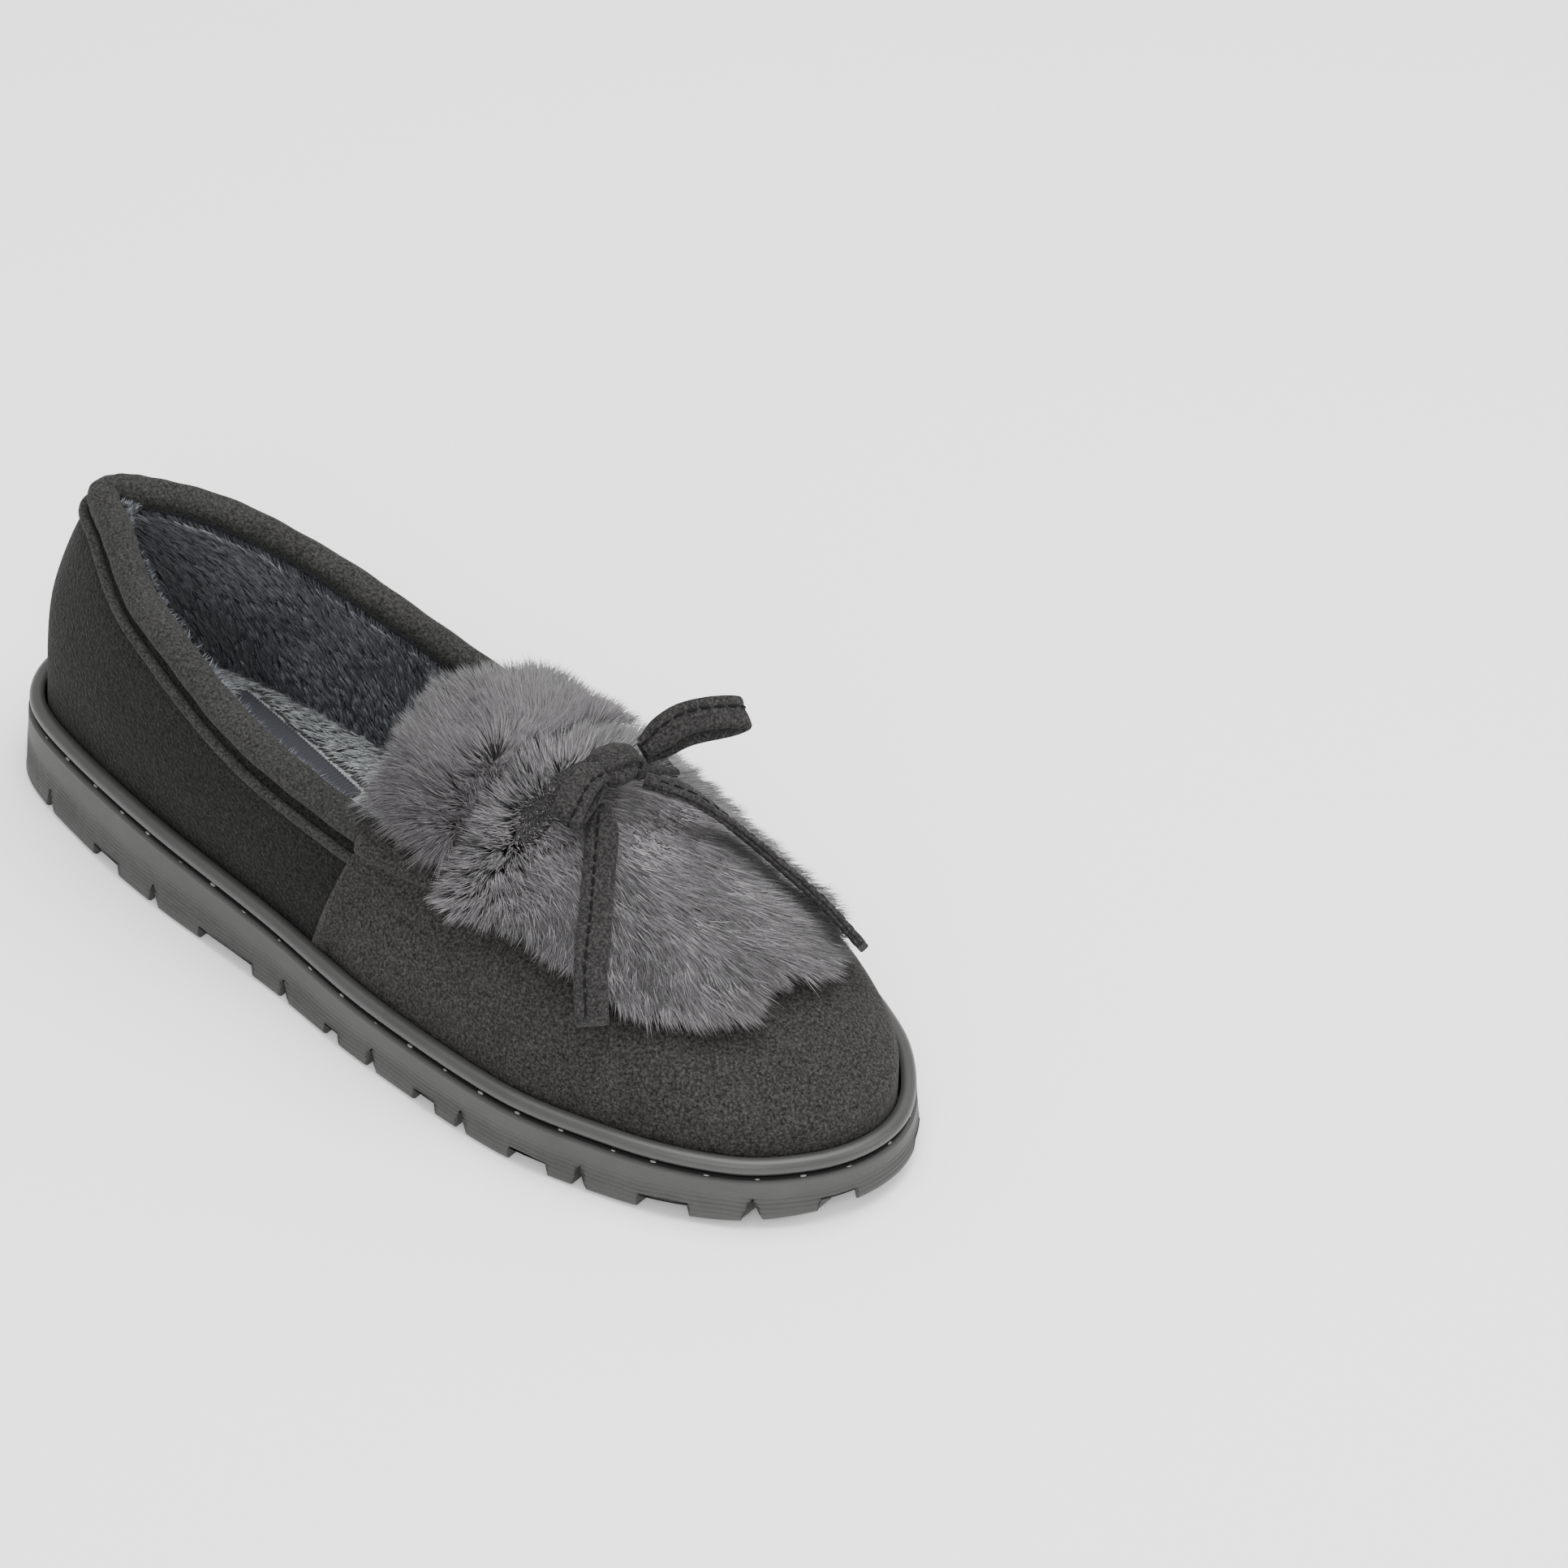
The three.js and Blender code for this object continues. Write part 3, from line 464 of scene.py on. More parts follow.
def noise(tree, coordinates, scale, detail=3.0, roughness=0.6, stretch=None):
    texture = tree.nodes.new("ShaderNodeTexNoise")
    texture.inputs["Scale"].default_value = scale
    texture.inputs["Detail"].default_value = detail
    texture.inputs["Roughness"].default_value = roughness
    if stretch is not None:
        mapping = tree.nodes.new("ShaderNodeMapping")
        mapping.inputs["Scale"].default_value = stretch
        tree.links.new(coordinates, mapping.inputs["Vector"])
        coordinates = mapping.outputs["Vector"]
    tree.links.new(coordinates, texture.inputs["Vector"])
    return texture.outputs["Fac"]


def ramp(tree, factor, stops):
    node = tree.nodes.new("ShaderNodeValToRGB")
    elements = node.color_ramp.elements
    while len(elements) < len(stops):
        elements.new(0.5)
    for element, (position, colour) in zip(elements, stops):
        element.position = position
        element.color = colour
    tree.links.new(factor, node.inputs["Fac"])
    return node.outputs["Color"]


def mix(tree, factor, a, b, blend="MIX"):
    node = tree.nodes.new("ShaderNodeMix")
    node.data_type = "RGBA"
    node.blend_type = blend
    for value, socket in zip((factor, a, b), [node.inputs[key] for key in ("Factor", "A", "B")]):
        if hasattr(value, "links"):
            tree.links.new(value, socket)
        else:
            socket.default_value = value
    return node.outputs["Result"]


def add_bump(tree, shader, height, strength, distance):
    bump = tree.nodes.new("ShaderNodeBump")
    bump.inputs["Strength"].default_value = strength
    bump.inputs["Distance"].default_value = distance
    tree.links.new(height, bump.inputs["Height"])
    tree.links.new(bump.outputs["Normal"], shader.inputs["Normal"])


def suede(name, dark, middle, light, patchiness=0.5):
    material, tree, shader, coordinates = node_kit(name)
    nap = noise(tree, coordinates, 1500, 4, 0.7)
    fibres = ramp(tree, nap, [(0.34, dark), (0.5, middle), (0.78, light)])
    brushed = noise(tree, coordinates, 38, 3, 0.6, (1, 1.6, 1.6))
    shade = ramp(tree, brushed, [(0.3, (0.72, 0.72, 0.72, 1)), (0.7, (1, 1, 1, 1))])
    colour = mix(tree, patchiness, fibres, shade, "MULTIPLY")
    tree.links.new(colour, shader.inputs["Base Color"])
    shader.inputs["Roughness"].default_value = 0.95
    shader.inputs["Sheen Weight"].default_value = 0.05
    shader.inputs["Sheen Roughness"].default_value = 0.4
    shader.inputs["Specular IOR Level"].default_value = 0.06
    grain = noise(tree, coordinates, 850, 3, 0.65)
    add_bump(tree, shader, grain, 0.9, 0.0006)
    return material


def rubber(name, base, roughness, grain):
    material, tree, shader, coordinates = node_kit(name)
    cloud = noise(tree, coordinates, 60, 4, 0.6)
    dark = tuple(c * 0.86 for c in base[:3]) + (1,)
    light = tuple(c * 1.12 for c in base[:3]) + (1,)
    tree.links.new(ramp(tree, cloud, [(0.3, dark), (0.7, light)]), shader.inputs["Base Color"])
    shader.inputs["Roughness"].default_value = roughness
    shader.inputs["Specular IOR Level"].default_value = 0.4
    add_bump(tree, shader, noise(tree, coordinates, 1800, 2, 0.5), grain, 0.0002)
    return material


def plain(name, colour, roughness=0.9, sheen=0.0):
    material = bpy.data.materials.new(name)
    material.use_nodes = True
    shader = material.node_tree.nodes["Principled BSDF"]
    shader.inputs["Base Color"].default_value = colour
    shader.inputs["Roughness"].default_value = roughness
    shader.inputs["Specular IOR Level"].default_value = 0.2
    shader.inputs["Sheen Weight"].default_value = sheen
    return material


vamp_suede = suede("vamp_suede", srgb(18, 18, 17), srgb(44, 43, 42), srgb(76, 75, 74), 0.6)
quarter_suede = suede("quarter_suede", srgb(10, 10, 10), srgb(27, 27, 26), srgb(52, 51, 50), 0.7)
collar_suede = suede("collar_suede", srgb(24, 24, 23), srgb(45, 45, 44), srgb(72, 71, 70), 0.5)
lace_suede = suede("lace_suede", srgb(22, 22, 22), srgb(43, 42, 42), srgb(72, 71, 70), 0.4)
wall_rubber = rubber("wall_rubber", srgb(55, 55, 54), 0.62, 0.35)
bead_rubber = rubber("bead_rubber", srgb(50, 50, 49), 0.42, 0.12)
dark_thread = plain("dark_thread", srgb(9, 9, 10))
# The pale stitch dots are painted highlights on the dark groove thread, a lit copy of it.
painted_stitch_glint = plain("painted_stitch_glint", srgb(116, 116, 114))
print("finishes:", len(bpy.data.materials))

# %% [markdown]
# ## Cup sole
# The sole is one rubber moulding. Its side wall is drawn as a stack of outlines from the
# tread up, with fine wavy ribs, then the stitch groove, the round bead and the cup inside.
# Where a tread channel or a slit crosses, the bottom of the stack rises. Stations are packed
# close at those places, so that the lugs have crisp corners.

# %% Cup sole
CHANNELS = [(41, 51), (80, 99), (125, 130), (155, 162), (184, 194), (216, 227), (249, 253)]
SIPES = [22, 64, 110, 141, 170, 202, 239]
CHANNEL_DEPTH, SIPE_HEIGHT, SIPE_HALF_WIDTH = 4.0, 7.2, 1.9
RIB_PITCH, RIB_DEPTH = 1.25, 0.2


def sole_stations():
    """Angles from heel to toe, close together beside each channel edge and slit."""
    marks = [x for pair in CHANNELS for edge in pair for x in (edge - 0.25, edge + 0.25)]
    marks += [x + k for x in SIPES for k in (-SIPE_HALF_WIDTH, -0.2, 0.2, SIPE_HALF_WIDTH)]
    return np.unique(np.concatenate([np.linspace(0, np.pi, 260), base_angle(np.array(marks))]))


def tread_height(x):
    """How far the tread lies above the floor at x, with channels and slits cut in."""
    cut = np.zeros_like(x)
    for low, high in CHANNELS:
        cut = np.maximum(cut, CHANNEL_DEPTH * ((x > low) & (x < high)))
    for middle in SIPES:
        share = np.clip(1 - np.abs(x - middle) / SIPE_HALF_WIDTH, 0, 1)
        cut = np.maximum(cut, SIPE_HEIGHT * share)
    return toe_spring(x) + cut


def sole_profile(x, wobble):
    """Outsets and heights of the sole's outlines, from the tread's edge to the cup floor."""
    tread, groove = tread_height(x), groove_height(x)
    flat = toe_spring(x)
    rows = [(0.6, tread), (1.5, np.maximum(tread, flat + 0.7))]
    wall_rows = 56
    for k in range(wall_rows + 1):
        share = k / wall_rows
        height = lerp(flat + 1.2, groove - 1.2, share)
        flare = lerp(1.7, 0.75, share ** 0.6)
        rib = RIB_DEPTH * np.sin(2 * np.pi * (height + wobble) / RIB_PITCH)
        rows.append((flare + rib * np.sin(np.pi * min(1, 0.1 + share * 1.2)), np.maximum(height, tread)))
    turns = [(0.45, -0.9), (-0.5, -0.75), (-1.1, -0.55), (-1.25, 0.35), (-0.6, 0.8), (0.05, 1.2),
             (0.35, 1.8), (0.42, 2.5), (0.25, 3.2), (-0.25, 3.8), (-0.95, 4.15), (-1.8, 4.25),
             (-2.6, 4.1), (-CUP_WALL, 3.6)]
    rows += [(out, groove + rise) for out, rise in turns]
    rows += [(-CUP_WALL, cup_floor(x))]
    return rows


def cup_sole():
    half = sole_stations()
    angles = np.concatenate([half, -half[1:-1][::-1]])
    x = SOLE_LENGTH * (1 - np.cos(np.abs(angles))) / 2
    wobble = 0.35 * np.sin(x * 0.16 + 0.9 * np.sin(x * 0.05)) + 0.12 * np.sin(x * 0.53)
    rows = sole_profile(x, wobble)
    rings = []
    for out, height in rows:
        flat = outline(angles, np.broadcast_to(out, x.shape))
        rings.append(np.concatenate([flat, height[:, None]], 1))
    rings = np.stack(rings)
    count, sides = rings.shape[:2]
    faces = [list(f) for f in grid_faces(count, sides, 0, False, True)]
    materials = [1 if len(rows) - 12 <= i // sides < len(rows) - 2 else 0 for i in range(len(faces))]
    last = (count - 1) * sides
    for k in range(len(half) - 1):
        corners = [k, k + 1, (sides - k - 1) % sides, (sides - k) % sides]
        for first, order in ((0, corners), (last, corners[::-1])):
            face = [first + c for c in dict.fromkeys(order)]
            faces.append(face)
            materials.append(0)
    piece = bpy.data.meshes.new("cup_sole")
    piece.from_pydata(((rings.reshape(-1, 3) - MIDDLE) * MM).tolist(), [], faces)
    for material in (wall_rubber, bead_rubber):
        piece.materials.append(material)
    piece.polygons.foreach_set("material_index", np.array(materials, np.int32))
    sole = bpy.data.objects.new("cup_sole", piece)
    bpy.context.collection.objects.link(sole)
    edit(sole, outward)
    bpy.ops.object.shade_smooth_by_angle(angle=math.radians(38))
    return sole


sole = dress(cup_sole(), "shoe", "sole_rubber", "outsole")

# %% [markdown]
# ## Stitching in the sole's groove
# A dark thread lies in the groove all round. At each stitch, about every eleven millimetres,
# a small pale dot shows: a painted highlight on the thread.

# %% Groove thread and its stitch dots
STITCH_PITCH = 11.4


def circle(radius, sides):
    a = np.arange(sides) * 2 * np.pi / sides
    return np.stack([radius * np.cos(a), radius * np.sin(a)], -1)


def sweep(places, sides, ups, section):
    """Rings of a section carried along places; section is one outline or one per place."""
    section = np.broadcast_to(section, (len(places), *np.shape(section)[-2:]))
    return places[:, None] + sides[:, None] * section[..., :1] + ups[:, None] * section[..., 1:]


def groove_frames(count, outset):
    angles = np.linspace(-np.pi, np.pi, count, endpoint=False)
    flat = outline(angles, np.full(count, outset))
    side = unit(outline(angles, np.ones(count)) - outline(angles, np.zeros(count)))
    place = np.concatenate([flat, groove_height(flat[:, :1])], 1)
    return place, np.concatenate([side, np.zeros((count, 1))], 1)


def groove_thread():
    place, side = groove_frames(360, -0.5)
    place[:, 2] -= 0.2
    ups = np.tile([0.0, 0.0, 1.0], (len(place), 1))
    points, faces = tube(sweep(place, side, ups, circle(0.42, 6)), closed=True)
    return new_piece("groove_thread", points, faces, [dark_thread])


def stitch_dot():
    """One pale dot, a painted highlight on the thread, modelled once as a squashed ball."""
    bpy.ops.object.select_all(action="DESELECT")
    bpy.ops.mesh.primitive_ico_sphere_add(subdivisions=2, radius=0.5 * MM)
    dot = bpy.context.object
    dot.scale = (1.5, 0.7, 0.5)
    bpy.ops.object.transform_apply(location=False, rotation=False, scale=True)
    return dot


def copies(name, model, places, directions, material, sizes):
    """One piece made of copies of a small model, each turned to its direction."""
    points = np.array([v.co[:] for v in model.data.vertices]) / MM
    faces = np.array([p.vertices[:] for p in model.data.polygons])
    ups = np.tile([0.0, 0.0, 1.0], (len(places), 1))
    sides = unit(np.cross(directions, ups))
    ups = unit(np.cross(sides, directions))
    made = (points[None, :, :1] * directions[:, None] + points[None, :, 1:2] * sides[:, None]
            + points[None, :, 2:] * ups[:, None]) * sizes[:, None, None] + places[:, None]
    all_faces = faces[None] + (np.arange(len(places)) * len(points))[:, None, None]
    bpy.data.objects.remove(model)
    return new_piece(name, made.reshape(-1, 3), all_faces.reshape(-1, faces.shape[1]), [material])


def stitch_dots():
    rng = np.random.default_rng(seed)
    place, _ = groove_frames(2400, -0.25)
    steps = np.linalg.norm(np.diff(place, axis=0), axis=1)
    length = np.concatenate([[0], np.cumsum(steps)])
    wanted = np.arange(0, length[-1], STITCH_PITCH)
    wanted = wanted + rng.uniform(-1, 1, len(wanted))
    index = np.clip(np.searchsorted(length, wanted), 0, len(place) - 1)
    along = unit(np.gradient(place, axis=0))[index]
    lift = np.array([0, 0, 1.0]) * rng.uniform(-0.5, 0.3, (len(index), 1))
    return copies("stitch_dots", stitch_dot(), place[index] + lift, along, painted_stitch_glint,
                  rng.uniform(0.7, 1.15, len(index)))


dress(groove_thread(), "shoe", "sole_thread", "sole_stitch_thread")
dress(stitch_dots(), "shoe", "sole_thread")

# %% [markdown]
# ## Suede upper
# The quarter wraps the heel and the vamp covers the forefoot. The vamp's rear edge laps over
# the quarter by a few millimetres, so there it is lifted off the last by the thickness of the
# suede beneath. Both sheets are cut from the last's surface and thickened inwards.

# %% Quarter and vamp
SUEDE = 1.2
LAP = 0.03                           # radians that the vamp reaches over the quarter


def heel_grid(rows, columns, lift=0.0, low=0.0, high=1.0, trim=0.0):
    heights = np.linspace(low, high, rows)
    halves = []
    for medial in (False, True):
        share = np.linspace(1, 0, columns) if not medial else np.linspace(0, 1, columns)[1:]
        around = (seam_around(heights)[:, None] - trim) * share[None]
        height = np.broadcast_to(heights[:, None], around.shape)
        halves.append(upper(around, wall_across(around, height, medial)))
    grid = np.concatenate(halves, 1)
    return grid + grid_normals(grid) * lift


def swell(grid, amount, size):
    """Soft dents and swells, as stuffed or handled cloth has."""
    x, y, z = (grid[..., k] / size for k in range(3))
    wave = np.sin(x * 1.3 + 2 * np.sin(z * 0.7)) * np.sin(z * 1.9 + y) * np.sin(y * 0.9 + x * 0.4)
    return grid + grid_normals(grid) * (amount * wave)[..., None]


def shoulder(top_row, medial):
    """The vamp's suede where it wraps over the end of the collar's roll."""
    start = rim_angle(top_row[0, 0] + 1.5)
    angles = np.linspace(start, rim_angle(THROAT_X), len(top_row)) * (1 if medial else -1)
    place = rim(angles)
    side = unit(rim(angles, 1.0) - rim(angles, 0.0))
    along = unit(rim(angles + 0.01) - rim(angles - 0.01))
    ups = unit(np.cross(side, along))
    ups[ups[:, 2] < 0] *= -1
    radius = lerp(ROLL_RADIUS + 0.9, 2.2, smoothstep(np.linspace(0, 1, len(top_row)), 0.3, 1))[:, None]
    turns = np.linspace(-0.75, 2.3, 12)
    wrap = [place + radius * (side * math.cos(a) + ups * math.sin(a)) for a in turns]
    return np.stack([top_row] + wrap)


def vamp_grids(wall_rows, crown_rows, columns, rear=0.0, with_shoulders=False):
    throat = rim_angle(THROAT_X)
    heights = np.linspace(0, 1, wall_rows)
    ahead = np.linspace(throat, np.pi, columns)[None]
    beside, walls = [], []
    for medial in (False, True):
        start = seam_around(heights)[:, None] + 0.004 - rear
        around = start + (throat - start) * np.linspace(0, 1, 14)[None]
        height = np.broadcast_to(heights[:, None], around.shape)
        beside.append(upper(around, wall_across(around, height, medial)))
        around = np.broadcast_to(ahead, (wall_rows, columns))
        height = np.broadcast_to(heights[:, None], around.shape)
        walls.append(upper(around, wall_across(around, height, medial)))
    share = np.linspace(-1, 1, crown_rows)[1:-1, None]
    around = np.broadcast_to(ahead, (len(share), columns))
    crown = upper(around, crown_across(around, np.broadcast_to(share, around.shape)))
    middle = np.concatenate([walls[0], crown, walls[1][::-1]])
    shoulders = [shoulder(grid[-1], k == 1) for k, grid in enumerate(beside)] if with_shoulders else []
    return [beside[0], middle, beside[1][::-1], *shoulders]


def lift_lap(piece):
    """Raises the vamp's rear edge off the quarter that it laps over."""
    data = piece.data
    points = np.empty(len(data.vertices) * 3)
    data.vertices.foreach_get("co", points)
    points = points.reshape(-1, 3) / MM + MIDDLE
    normals = np.empty(len(data.vertices) * 3)
    data.vertices.foreach_get("normal", normals)
    height = np.clip((points[:, 2] - 20) / 28, 0, 1)
    seam_x = lerp(SEAM_BOTTOM_X, SEAM_TOP_X, height)
    near = 1 - smoothstep(points[:, 0], seam_x + 0.5, seam_x + 6)
    away = unit(points * [0, 1, 0.25])
    points += away * (near * (SUEDE + 0.3))[:, None]
    data.vertices.foreach_set("co", ((points - MIDDLE) * MM).ravel())
    data.update()


quarter_grid = swell(heel_grid(28, 120, high=1.06), 0.35, 17)
quarter = sheet_piece("quarter_suede", [quarter_grid], SUEDE, [quarter_suede])
dress(quarter, "shoe", "quarter_suede", "quarter")
vamp = sheet_piece("vamp_suede", vamp_grids(20, 40, 90, LAP, True), SUEDE, [vamp_suede])
lift_lap(vamp)
dress(vamp, "shoe", "vamp_suede", "vamp")

# %% [markdown]
# ## Padded collar
# The collar is a strip of suede rolled over a foam rod and sewn down on the outside, with a
# thin ridge of piping below it. The roll is a tube along the rim whose radius wavers a
# little and narrows at both ends.

# %% Collar roll and piping


def collar_frames(count, end_x):
    reach = rim_angle(end_x)
    angles = np.linspace(-reach, reach, count)
    place = rim(angles)
    side = unit(rim(angles, 1.0) - rim(angles, 0.0))
    along = unit(rim(angles + 0.01) - rim(angles - 0.01))
    ups = unit(np.cross(side, along))
    ups[ups[:, 2] < 0] *= -1
    return place, side, ups


def collar_roll():
    place, side, ups = collar_frames(240, ROLL_HIDDEN_X)
    turn = np.linspace(0, 2 * np.pi, 32, endpoint=False)[None]
    along = np.arange(len(place))[:, None]
    radius = ROLL_RADIUS * 0.95 * (1 + 0.03 * np.sin(along * 0.23 + 1.5 * np.sin(turn))
                            + 0.02 * np.sin(along * 0.71 + turn * 2))
    ends = np.minimum(along, len(place) - 1 - along)
    radius = radius * np.sqrt(np.clip((ends + 0.6) / 5, 0, 1))
    section = np.stack([radius * np.cos(turn) * 1.02, radius * np.sin(turn)], -1)
    points, faces = tube(sweep(place, side, ups, section))
    piece = new_piece("collar_roll", points, faces, [collar_suede])
    edit(piece, outward)
    return piece


def piping(name, below, radius, lift, end_x):
    reach = rim_angle(end_x)
    angles = np.linspace(-reach, reach, 260)
    around = np.maximum(np.abs(angles), 0.012)

    def at(shift):
        a = angles + shift
        b = np.maximum(np.abs(a), 0.012)
        across = np.where(a > 0, below_rim(b, below, True), below_rim(b, below, False))
        return upper(b, across), across

    place, across = at(0.0)
    forward = upper(around + 0.02, across) - upper(around - 0.02, across)
    over = upper(around, across + 0.005) - upper(around, across - 0.005)
    out = unit(np.cross(forward, over))
    along = unit(at(0.03)[0] - at(-0.03)[0])
    ups = unit(np.cross(out, along))
    rings = sweep(place + out * lift, out, ups, circle(radius, 12))
    points, faces = tube(rings)
    piece = new_piece(name, points, faces, [collar_suede])
    edit(piece, outward)
    return piece


roll_piece = dress(collar_roll(), "shoe", "collar_suede", "collar_binding", "collar_foam")
dress(piping("collar_ridge", 6.7, 1.3, 0.6, SEAM_TOP_X - 2), "shoe", "collar_suede", "collar_piping")

# %% [markdown]
# ## Plush and fur
# Every hair is a thin tapering spike with three sides. It rises from the cloth and then
# bends over in the direction the pile is combed. Hairs near each other share a tuft, and
# their tips lean towards the tuft's tip, which gives fur its ragged, clumped look. The lower,
# middle and end parts of a hair have their own tones, dark at the root and light at the tip.

# %% Scattering hairs and growing them


def scatter(rng, grid, normals, count, keep=None):
    """Random places on a grid of points, evenly by area, with normals and grid positions."""
    a, b = grid[1:, :-1] - grid[:-1, :-1], grid[:-1, 1:] - grid[:-1, :-1]
    area = np.linalg.norm(np.cross(a, b), axis=-1)
    if keep is not None:
        area = area * keep[:-1, :-1]
    cells = rng.choice(area.size, count, p=(area / area.sum()).ravel())
    i, j = np.divmod(cells, area.shape[1])
    u, v = rng.random(count)[:, None], rng.random(count)[:, None]

    def blend(values):
        top = lerp(values[i, j], values[i, j + 1], v)
        return lerp(top, lerp(values[i + 1, j], values[i + 1, j + 1], v), u)

    rows = (i + u[:, 0]) / (grid.shape[0] - 1)
    columns = (j + v[:, 0]) / (grid.shape[1] - 1)
    return blend(grid), unit(blend(normals)), rows, columns


def on_surface(direction, normals):
    """Turns directions so that they run along the surface."""
    direction = np.broadcast_to(direction, normals.shape)
    return unit(direction - normals * (direction * normals).sum(1, keepdims=True))


def nearest(points, centres, chunk=2000):
    index = np.empty(len(points), int)
    for k in range(0, len(points), chunk):
        gap = points[k:k + chunk, None] - centres[None]
        index[k:k + chunk] = (gap ** 2).sum(-1).argmin(1)
    return index


def swirl(points, size):
    """A smooth number between -1 and 1 that wanders over the surface."""
    x, y, z = (points[:, k] / size for k in range(3))
    return np.sin(x + 1.7 * np.sin(y * 0.8 + z)) * np.cos(y * 1.3 + 1.1 * np.sin(x * 0.7))


def hairs(name, rng, roots, normals, comb, length, lean, width, tones, tuft=0.0, tuft_every=28,
          stops=(0, 0.4, 0.75), taper=(1.0, 0.9, 0.55)):
    """Grows one hair from each root. tones is a list of material lists, root to tip."""
    count = len(roots)
    side = unit(np.cross(comb, normals))
    comb = unit(comb + side * rng.normal(0, 0.3, (count, 1)))
    length = (length * rng.uniform(0.72, 1.12, count))[:, None]
    lean = np.clip(lean + rng.normal(0, 0.09, count), 0.0, 1.5)[:, None]
    tips = roots + (normals * np.cos(lean) + comb * np.sin(lean)) * length
    rise = roots + normals * length * 0.42 * np.cos(lean * 0.55) + comb * length * 0.14
    if tuft > 0:
        heads = rng.choice(count, max(1, count // tuft_every), replace=False)
        home = heads[nearest(roots, roots[heads])]
        pull = tuft * rng.uniform(0.4, 1.0, (count, 1))
        tips = lerp(tips, tips[home], pull)
        rise = lerp(rise, rise[home], pull * 0.45)
    rings = []
    turn = rng.uniform(0, 2 * np.pi, count)
    for t, size in zip(stops, taper):
        place = (1 - t) ** 2 * roots + 2 * t * (1 - t) * rise + t * t * tips
        along = unit((1 - t) * (rise - roots) + t * (tips - rise))
        across = unit(np.cross(along, side + 0.01))
        other = np.cross(along, across)
        radius = (width * size / 2) * np.ones(count)
        for k in range(3):
            angle = turn + k * 2 * np.pi / 3
            rings.append(place + (across * np.cos(angle)[:, None] + other * np.sin(angle)[:, None])
                         * radius[:, None])
    points = np.stack([*rings, tips], 1)
    per_hair = points.shape[1]
    faces, parts = [(0, 2, 1)], [0]
    for ring in range(len(stops)):
        for k in range(3):
            a, b = ring * 3 + k, ring * 3 + (k + 1) % 3
            if ring == len(stops) - 1:
                faces.append((a, b, per_hair - 1))
                parts.append(ring)
            else:
                faces += [(a, b, b + 3), (a, b + 3, a + 3)]
                parts += [ring, ring]
    faces = np.array(faces)[None] + (np.arange(count) * per_hair)[:, None, None]
    materials = [m for row in tones for m in row]
    first = np.cumsum([0] + [len(row) for row in tones])
    patch = 0.5 + 0.2 * swirl(roots, 7.0) + rng.normal(0, 0.42, count)
    index = np.empty((count, len(parts)), np.int32)
    for k, part in enumerate(parts):
        row = tones[min(part, len(tones) - 1)]
        shade = np.clip((patch * len(row)).astype(int), 0, len(row) - 1)
        index[:, k] = first[min(part, len(tones) - 1)] + shade
    return triangle_piece(name, points.reshape(-1, 3), faces.reshape(-1, 3), materials,
                          index.ravel())


def triangle_piece(name, points, faces, materials, index):
    mesh = bpy.data.meshes.new(name)
    mesh.vertices.add(len(points))
    mesh.vertices.foreach_set("co", ((points - MIDDLE) * MM).ravel())
    mesh.loops.add(faces.size)
    mesh.loops.foreach_set("vertex_index", faces.ravel().astype(np.int32))
    mesh.polygons.add(len(faces))
    mesh.polygons.foreach_set("loop_start", np.arange(0, faces.size, 3, dtype=np.int32))
    for material in materials:
        mesh.materials.append(material)
    mesh.polygons.foreach_set("material_index", index)
    mesh.polygons.foreach_set("use_smooth", np.ones(len(faces), bool))
    mesh.update(calc_edges=True)
    piece = bpy.data.objects.new(name, mesh)
    bpy.context.collection.objects.link(piece)
    return piece


def tone_row(name, colours, roughness=0.75, sheen=0.2):
    return [plain(f"{name}_{k + 1}", srgb(*c), roughness, sheen) for k, c in enumerate(colours)]


# %% [markdown]
# ## Plush lining
# The lining is a knitted sheet with a pile of about five millimetres on its inner face. It is
# bluish grey; its cloth is painted nearly black, which is painted shade between the hairs. Near
# the rim a few longer hairs with white tips look out over the collar.

# %% Lining
# The lining cloth's near-black colour is painted shade between the hairs; the plush itself is bluish
# grey.
lining_cloth_painted_shade = suede("lining_cloth_painted_shade", srgb(20, 22, 26), srgb(38, 40, 45), srgb(60, 63, 68), 0.3)
lining_tones = [tone_row("lining_root", [(34, 37, 43), (50, 54, 60)]),
                tone_row("lining_middle", [(52, 56, 61), (84, 88, 93), (116, 120, 125)]),
                tone_row("lining_tip", [(92, 96, 101), (134, 138, 143), (176, 180, 184)])]
rim_tones = [lining_tones[0], lining_tones[1],
             tone_row("rim_tip", [(120, 122, 126), (160, 162, 166), (200, 202, 205)])]
LINING_OUT = -2.9
PILE = 5.2


def lining_pile(name, rng, grid, inward, count, body_length=PILE, low=0.0):
    keep = (grid[..., 2] > low).astype(float)
    roots, normals, _, _ = scatter(rng, grid, inward, count, keep)
    comb = on_surface(np.array([0.85, 0.0, -0.5]), normals)
    comb = unit(comb + on_surface(np.array([0.2, 0.3, 1.0]), normals)
                * (0.4 * swirl(roots, 11.0))[:, None])
    return hairs(name, rng, roots, normals, comb, body_length, 1.08, 0.44, lining_tones,
                 tuft=0.65, tuft_every=11, stops=(0, 0.5), taper=(1.0, 0.75))


quarter_liner_grid = heel_grid(14, 90, LINING_OUT, high=1.05)
quarter_liner = sheet_piece("quarter_liner", [quarter_liner_grid], 2.6, [lining_cloth_painted_shade])
dress(quarter_liner, "shoe", "lining_plush", "quarter_lining")
vamp_liner_grids = [g + grid_normals(g) * LINING_OUT for g in vamp_grids(12, 18, 44)]
vamp_liner = sheet_piece("vamp_liner", vamp_liner_grids, 2.6, [lining_cloth_painted_shade])
dress(vamp_liner, "shoe", "lining_plush", "vamp_lining")

